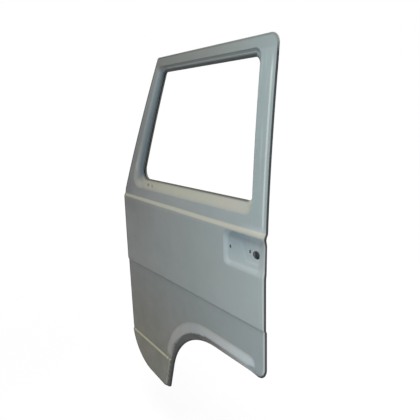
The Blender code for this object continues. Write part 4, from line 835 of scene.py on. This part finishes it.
def surface(tree, shader, colour, roughness, height, strength, distance):
    """Joins the colour, the roughness and a bump from the height to the shader."""
    bump = node(tree, "ShaderNodeBump", {"Height": height, "Strength": strength, "Distance": distance})
    for name, found in (("Base Color", colour), ("Roughness", roughness), ("Normal", bump.outputs[0])):
        tree.links.new(found, shader.inputs[name])


def mask_of(tree, name):
    return node(tree, "ShaderNodeAttribute", attribute_name=name).outputs["Fac"]


def form_light_and_shade(tree, colour, along, up):
    """Painted shade and light that go with the pressed forms: low panel, window surround, belt, flare and
    recess.
    """
    light = mask_of(tree, "front_light")
    colour = overlaid(tree, colour, (
        # Painted shade below the middle crease, then more below the lower one
        ((0.89, 0.885, 0.875), (up, 0.592, 0.576), (along, 0.55, 0.95, 1.0, 0.2)),
        ((0.79, 0.81, 0.825), (up, 0.2745, 0.2665), (along, 0.15, 0.75, 1.0, 0.8)),
        # Painted shade on the rear pillar, header and front pillar
        ((0.93, 0.965, 0.98), (along, 0.84, 0.92), (up, 0.60, 0.68)),
        ((0.77, 0.74, 0.71), (up, 1.172, 1.182), (along, 0.70, 0.96, 1.0, 0.35)),
        ((0.84, 0.82, 0.83), (along, 0.33, 0.05), (up, 0.58, 0.66)),
        # Lit edge of the front slope
        ((1.18, 1.21, 1.21), light)), "MULTIPLY")
    # A paler painted highlight on the same lit edge, stronger lower down
    colour = overlaid(tree, colour, (((0.36, 0.375, 0.345), light, (up, 0.88, 0.73, 0.0, 0.55)),))
    flare, recess = mask_of(tree, "flare_highlight"), mask_of(tree, "recess_share")
    return overlaid(tree, colour, (
        # Window surround: painted shade on the header step and the front slope, painted light on the header
        # strip
        ((0.62, 0.62, 0.61), mask_of(tree, "header_step_shade")),
        ((1.55, 1.55, 1.55), mask_of(tree, "header_strip_light")),
        ((0.47, 0.65, 0.79), mask_of(tree, "front_slope_shade")),
        # Painted highlight on the flare, its tail and its leg
        ((1.31, 1.27, 1.36), flare),
        ((1.10, 1.12, 1.12), flare, (along, 0.60, 0.85)),
        ((1.24, 1.22, 1.17), flare, (along, 0.58, 0.38)),
        # Painted shade at the front end of the panel below the belt and of the pillar above it, then a
        # painted highlight on the belt's lit rear end
        ((0.76, 0.755, 0.75), (up, 0.44, 0.56), (up, 0.600, 0.590), (along, 0.34, 0.02)),
        ((0.74, 0.75, 0.76), (up, 0.600, 0.612), (up, 0.76, 0.66), (along, 0.07, -0.005)),
        ((1.18, 1.18, 1.22), (up, 0.598, 0.606), (up, 0.626, 0.614), (along, 0.86, 0.94)),
        # Painted light in the recess and on its front ramp, painted shade on its run-out at the rear and the
        # belt ledge's painted shadow on its upper part
        ((1.20, 1.21, 1.23), recess),
        ((1.09, 1.10, 1.13), (recess, 0.0, 0.2), (recess, 1.0, 0.7), (along, 0.832, 0.812)),
        ((0.95, 0.92, 0.91), recess, (along, 0.958, 0.970)),
        ((0.78, 0.84, 0.875), recess, (up, 0.470, 0.560), (along, 0.880, 0.950, 1.18, 0.50))), "MULTIPLY")


def edge_light_and_shade(tree, colour, along, up):
    """Painted lines along the edges: highlights by the border crease, the lock edge and the tab's crest,
    shade on the arch lip, the opening and the hem.
    """
    rim = mask_of(tree, "rim_distance")
    strong = product(tree, (along, 0.90, 0.97, 0.78, 1.0), (up, 1.160, 1.195, 1.0, 0.35))
    strong = math_node(tree, "MAXIMUM", strong, ramped(tree, up, 0.56, 0.50))
    run = product(tree, (along, 0.58, 0.72), (along, 0.965, 0.935), (up, 0.14, 0.11, 0.0, 0.85))
    return overlaid(tree, colour, (
        # Painted highlight by the border crease
        ((0.62, 0.66, 0.65), (along, 0.9790, 0.9815), (along, 0.9890, 0.9860), (up, 0.61, 0.63),
         (up, 1.165, 1.100), 0.42),
        # Painted highlight by the lock edge
        ((0.50, 0.55, 0.55), (rim, 0.0185, 0.0145), (along, 0.984, 0.990), (up, 0.585, 0.570), 0.55),
        # Painted highlight along the tab's crest
        ((0.36, 0.37, 0.34), mask_of(tree, "crest_highlight"), 0.34),
        # Painted shade on the arch lip
        ((0.050, 0.053, 0.050), mask_of(tree, "lip_shade"), (along, 0.50, 0.60, 0.78, 0.95)),
        # Painted shade at the opening's edge
        ((0.080, 0.080, 0.073), mask_of(tree, "opening_edge_shade"), 0.88),
        # Painted shade along the hem
        ((0.030, 0.032, 0.034), (rim, 0.0090, 0.0058), strong, (run, 0.0, 1.0, 1.0, 0.0), 0.95)))


def dust_and_highlight_row(tree, along, up, cloud, tinge):
    """Dust and a painted highlight on faces that look up: its tone and its masks, as a row to lay over."""
    normal = tree.nodes.new("ShaderNodeNewGeometry").outputs["Normal"]
    facing_up = node(tree, "ShaderNodeSeparateXYZ", {0: normal}).outputs["Z"]
    swept = product(tree, (along, 0.76, 0.79), (up, 0.582, 0.572), (up, 0.36, 0.40))
    dust_and_highlight_tone = mixed(tree, tinge, (0.402, 0.398, 0.300), (0.400, 0.384, 0.272))
    rosy = ((0.430, 0.366, 0.298), (tinge, 0.0, 1.0, 0.4, 1.0), (along, 0.58, 0.80),
            (along, 0.95, 0.86, 0.15, 1.0))
    return (overlaid(tree, dust_and_highlight_tone, (rosy,)), (facing_up, 0.10, 0.30), (cloud, 0.0, 1.0, 0.30, 0.60),
            (up, 0.10, -0.08, 1.0, 1.9), (mask_of(tree, "flare_highlight"), 0.0, 1.0, 1.0, 0.35),
            (swept, 0.0, 1.0, 1.0, 0.0))


def primer(name, clean, shaded, front_shade, grime_and_shade, streaked):
    """Sprayed primer: patchy tone, painted shade towards the front, brown grime and painted shade low down at
    the front, streaks, dust with a painted highlight on faces that look up, painted shade and highlights
    along the edges and on the pressed forms, and specks.
    """
    material, tree, shader, place = new_material(name)
    split = node(tree, "ShaderNodeSeparateXYZ", {0: place})
    along, up = split.outputs["X"], split.outputs["Z"]
    tone, cloud, blush, tinge, specks, worn = (patchy(tree, place, *sizes) for sizes in (
        (3.2, 0.5, 0.22), (6.0, 0.45, 0.35), (4.4, 0.56, 0.12), (9.0, 0.5, 0.25), (170.0, 0.70, 0.03),
        (14.0, 0.5, 0.2)))
    front = ramped(tree, along, 0.98, 0.10)
    streak = grouped(tree, STREAKS, Place=place, Scale=46.0, Cover=0.58)
    colour = overlaid(tree, mixed(tree, tone, clean, shaded), (
        # Painted shade, deepening towards the front edge
        (front_shade, front, 0.85),
        # Brown grime and painted shade, low down at the front
        (grime_and_shade, (up, 0.32, -0.16, 0.0, 0.95), front, (cloud, 0.0, 1.0, 0.7, 1.0)),
        ((0.32, 0.25, 0.25), blush, 0.10),
        (streaked, streak, (along, 0.90, 0.97), (up, 0.50, 0.66, 0.12, 0.55)),
        # Dust and a painted highlight on faces that look up
        dust_and_highlight_row(tree, along, up, cloud, tinge)))
    colour = edge_light_and_shade(tree, form_light_and_shade(tree, colour, along, up), along, up)
    colour = overlaid(tree, colour, (((0.55, 0.57, 0.55), specks, 0.30),))
    peel = grouped(tree, PEEL, Place=place, Grain=700.0, Ripple=0.35)
    surface(tree, shader, colour, ramped(tree, worn, 0.0, 1.0, 0.42, 0.56), peel, 0.25, 0.0012)
    matt = ramped(tree, mask_of(tree, "rim_distance"), 0.0090, 0.0058)
    for edge in ("lip_shade", "opening_edge_shade"):
        matt = math_node(tree, "MAXIMUM", matt, mask_of(tree, edge))
    tree.links.new(ramped(tree, matt, 0.0, 1.0, 0.4, 0.12), shader.inputs["Specular IOR Level"])
    return material


def flocked(name):
    """Black flocked rubber: nap in the tone and the height, with patches of dust."""
    material, tree, shader, place = new_material(name)
    nap = noise(tree, place, 1400.0, 3.0)
    colour = mixed(tree, nap, (0.060, 0.070, 0.075), (0.092, 0.106, 0.112))
    colour = overlaid(tree, colour, (((0.10, 0.11, 0.11), patchy(tree, place, 18.0, 0.62, 0.18), 0.4),))
    surface(tree, shader, colour, ramped(tree, nap, 0.3, 0.7, 0.78, 0.95), nap, 0.5, 0.0006)
    return material


def zinc(name, tone, roughness, seed):
    """Zinc-coated steel: spangle and dull patches."""
    material, tree, shader, place = new_material(name)
    moved = node(tree, "ShaderNodeMapping", {"Vector": place, "Location": (seed, 2 * seed, -seed)}).outputs[0]
    spangle = node(tree, "ShaderNodeTexVoronoi", {"Vector": moved, "Scale": 260.0}).outputs["Color"]
    grey = node(tree, "ShaderNodeRGBToBW", {0: spangle}).outputs[0]
    colour = mixed(tree, grey, tone, tuple(min(1, c * 1.35) for c in tone))
    dull = patchy(tree, moved, 22.0, 0.5, 0.2)
    colour = overlaid(tree, colour, ((tuple(c * 0.55 for c in tone), dull, 0.45),))
    rough = ramped(tree, dull, 0.0, 1.0, roughness, roughness + 0.22)
    surface(tree, shader, colour, rough, grey, 0.12, 0.0003)
    tree.links.new(ramped(tree, dull, 0.0, 1.0, 0.9, 0.55), shader.inputs["Metallic"])
    return material


def mastic():
    """Dark mastic: a skinned surface with small pits."""
    material, tree, shader, place = new_material("mastic_dab")
    pits = noise(tree, place, 420.0, 4.0)
    colour = mixed(tree, pits, (0.022, 0.022, 0.021), (0.07, 0.068, 0.064))
    surface(tree, shader, colour, ramped(tree, pits, 0.3, 0.7, 0.7, 0.95), pits, 0.6, 0.0008)
    return material


def dress():
    """New pieces ride on the door, and every CAD node that still shows gets its finish."""
    skin_paint = primer("street_side_primer", (0.312, 0.372, 0.384), (0.284, 0.338, 0.354),
                        (0.152, 0.160, 0.161), (0.146, 0.132, 0.088), (0.50, 0.56, 0.56))
    panel_paint = primer("cab_side_primer", (0.300, 0.355, 0.362), (0.262, 0.312, 0.322),
                         (0.215, 0.238, 0.240), (0.180, 0.172, 0.140), (0.42, 0.47, 0.47))
    for obj, material in ((outer_skin(), skin_paint), (inner_panel(), panel_paint),
                          (window_channel(), flocked("flocked_black"))):
        obj.data.materials.clear()
        obj.data.materials.append(material)
        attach(obj, "root")
    finishes = (((0.40, 0.41, 0.41), 0.34), ((0.36, 0.37, 0.38), 0.40), ((0.44, 0.44, 0.42), 0.30))
    steel = [zinc(f"zinc_{i}", tone, roughness, i * 3.1) for i, (tone, roughness) in enumerate(finishes)]
    dabs = mastic()
    for i, name in enumerate(sorted(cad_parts)):
        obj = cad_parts[name]
        if obj.hide_render:
            continue
        obj.data.materials.clear()
        obj.data.materials.append(dabs if name.startswith("mastic") else steel[i % len(steel)])


def rays_of(tree, *kinds):
    path = tree.nodes.new("ShaderNodeLightPath").outputs
    return math_node(tree, "MAXIMUM", *(path[kind] for kind in kinds))


def studio():
    """A white ground well below the hung door, soft lamps and a white surround."""
    bpy.ops.object.select_all(action="DESELECT")
    bpy.ops.mesh.primitive_plane_add(size=GROUND_SIZE, location=(0, 0, GROUND_Z))
    ground = bpy.context.object
    ground.name = "studio_floor"
    material, tree, shader, place = new_material("pale_floor")
    colour = mixed(tree, noise(tree, place, 2.0, 2.0), (0.52, 0.52, 0.52), (0.58, 0.58, 0.58))
    tree.links.new(colour, shader.inputs["Base Color"])
    shader.inputs["Roughness"].default_value = 0.9
    far = node(tree, "ShaderNodeVectorMath", {0: place}, operation="LENGTH").outputs["Value"]
    strength = ramped(tree, far, 1.0, 5.0, 1.03, 1.13)
    glow = node(tree, "ShaderNodeEmission", {"Color": (1, 1, 1, 1), "Strength": strength})
    seen = product(tree, rays_of(tree, "Is Camera Ray", "Is Glossy Ray"), 0.88)
    both = node(tree, "ShaderNodeMixShader", {0: seen, 1: shader.outputs[0], 2: glow.outputs[0]})
    tree.links.new(both.outputs[0], tree.nodes["Material Output"].inputs["Surface"])
    ground.data.materials.append(material)
    lamp("key", (1.9, -1.7, 5.6), (0.6, 0.0, 0.4), 2.4, 380, (1.0, 0.975, 0.92))
    lamp("lock_side", (3.4, -2.4, 1.0), (0.8, 0.0, 0.3), 2.0, 44, (0.90, 0.97, 1.0))
    lamp("cab_side", (0.2, 3.0, 2.0), (0.5, 0.0, 0.4), 2.4, 150, (1.0, 1.0, 1.0))
    world = bpy.data.worlds.new("surround")
    bpy.context.scene.world = world
    world.use_nodes = True
    tree = world.node_tree
    seen = rays_of(tree, "Is Camera Ray", "Is Transmission Ray")
    background = tree.nodes["Background"]
    background.inputs["Color"].default_value = (1, 1, 1, 1)
    tree.links.new(ramped(tree, seen, 0.0, 1.0, 0.20, 1.0), background.inputs["Strength"])


def lamp(name, place, target, size, power, colour):
    data = bpy.data.lights.new(name, "AREA")
    data.shape = "DISK"
    data.size = size
    data.energy = power
    data.color = colour
    obj = linked(name, data)
    obj.location = place
    obj.rotation_mode = "QUATERNION"
    obj.rotation_quaternion = (Vector(target) - Vector(place)).to_track_quat("-Z", "Y")


def camera():
    """The photograph's viewpoint: off the lock edge on the street side, looking slightly down at the door."""
    data = bpy.data.cameras.new("viewpoint")
    data.lens = CAMERA_LENS
    data.sensor_width = 36
    obj = linked("viewpoint", data)
    obj.location = Vector(CAMERA_PLACE) + SHIFT
    obj.rotation_euler = (math.radians(90 - CAMERA_DIP), 0, math.radians(CAMERA_TURN))
    bpy.context.scene.camera = obj


bpy.context.scene.view_settings.view_transform = "Standard"
dress()
studio()
camera()
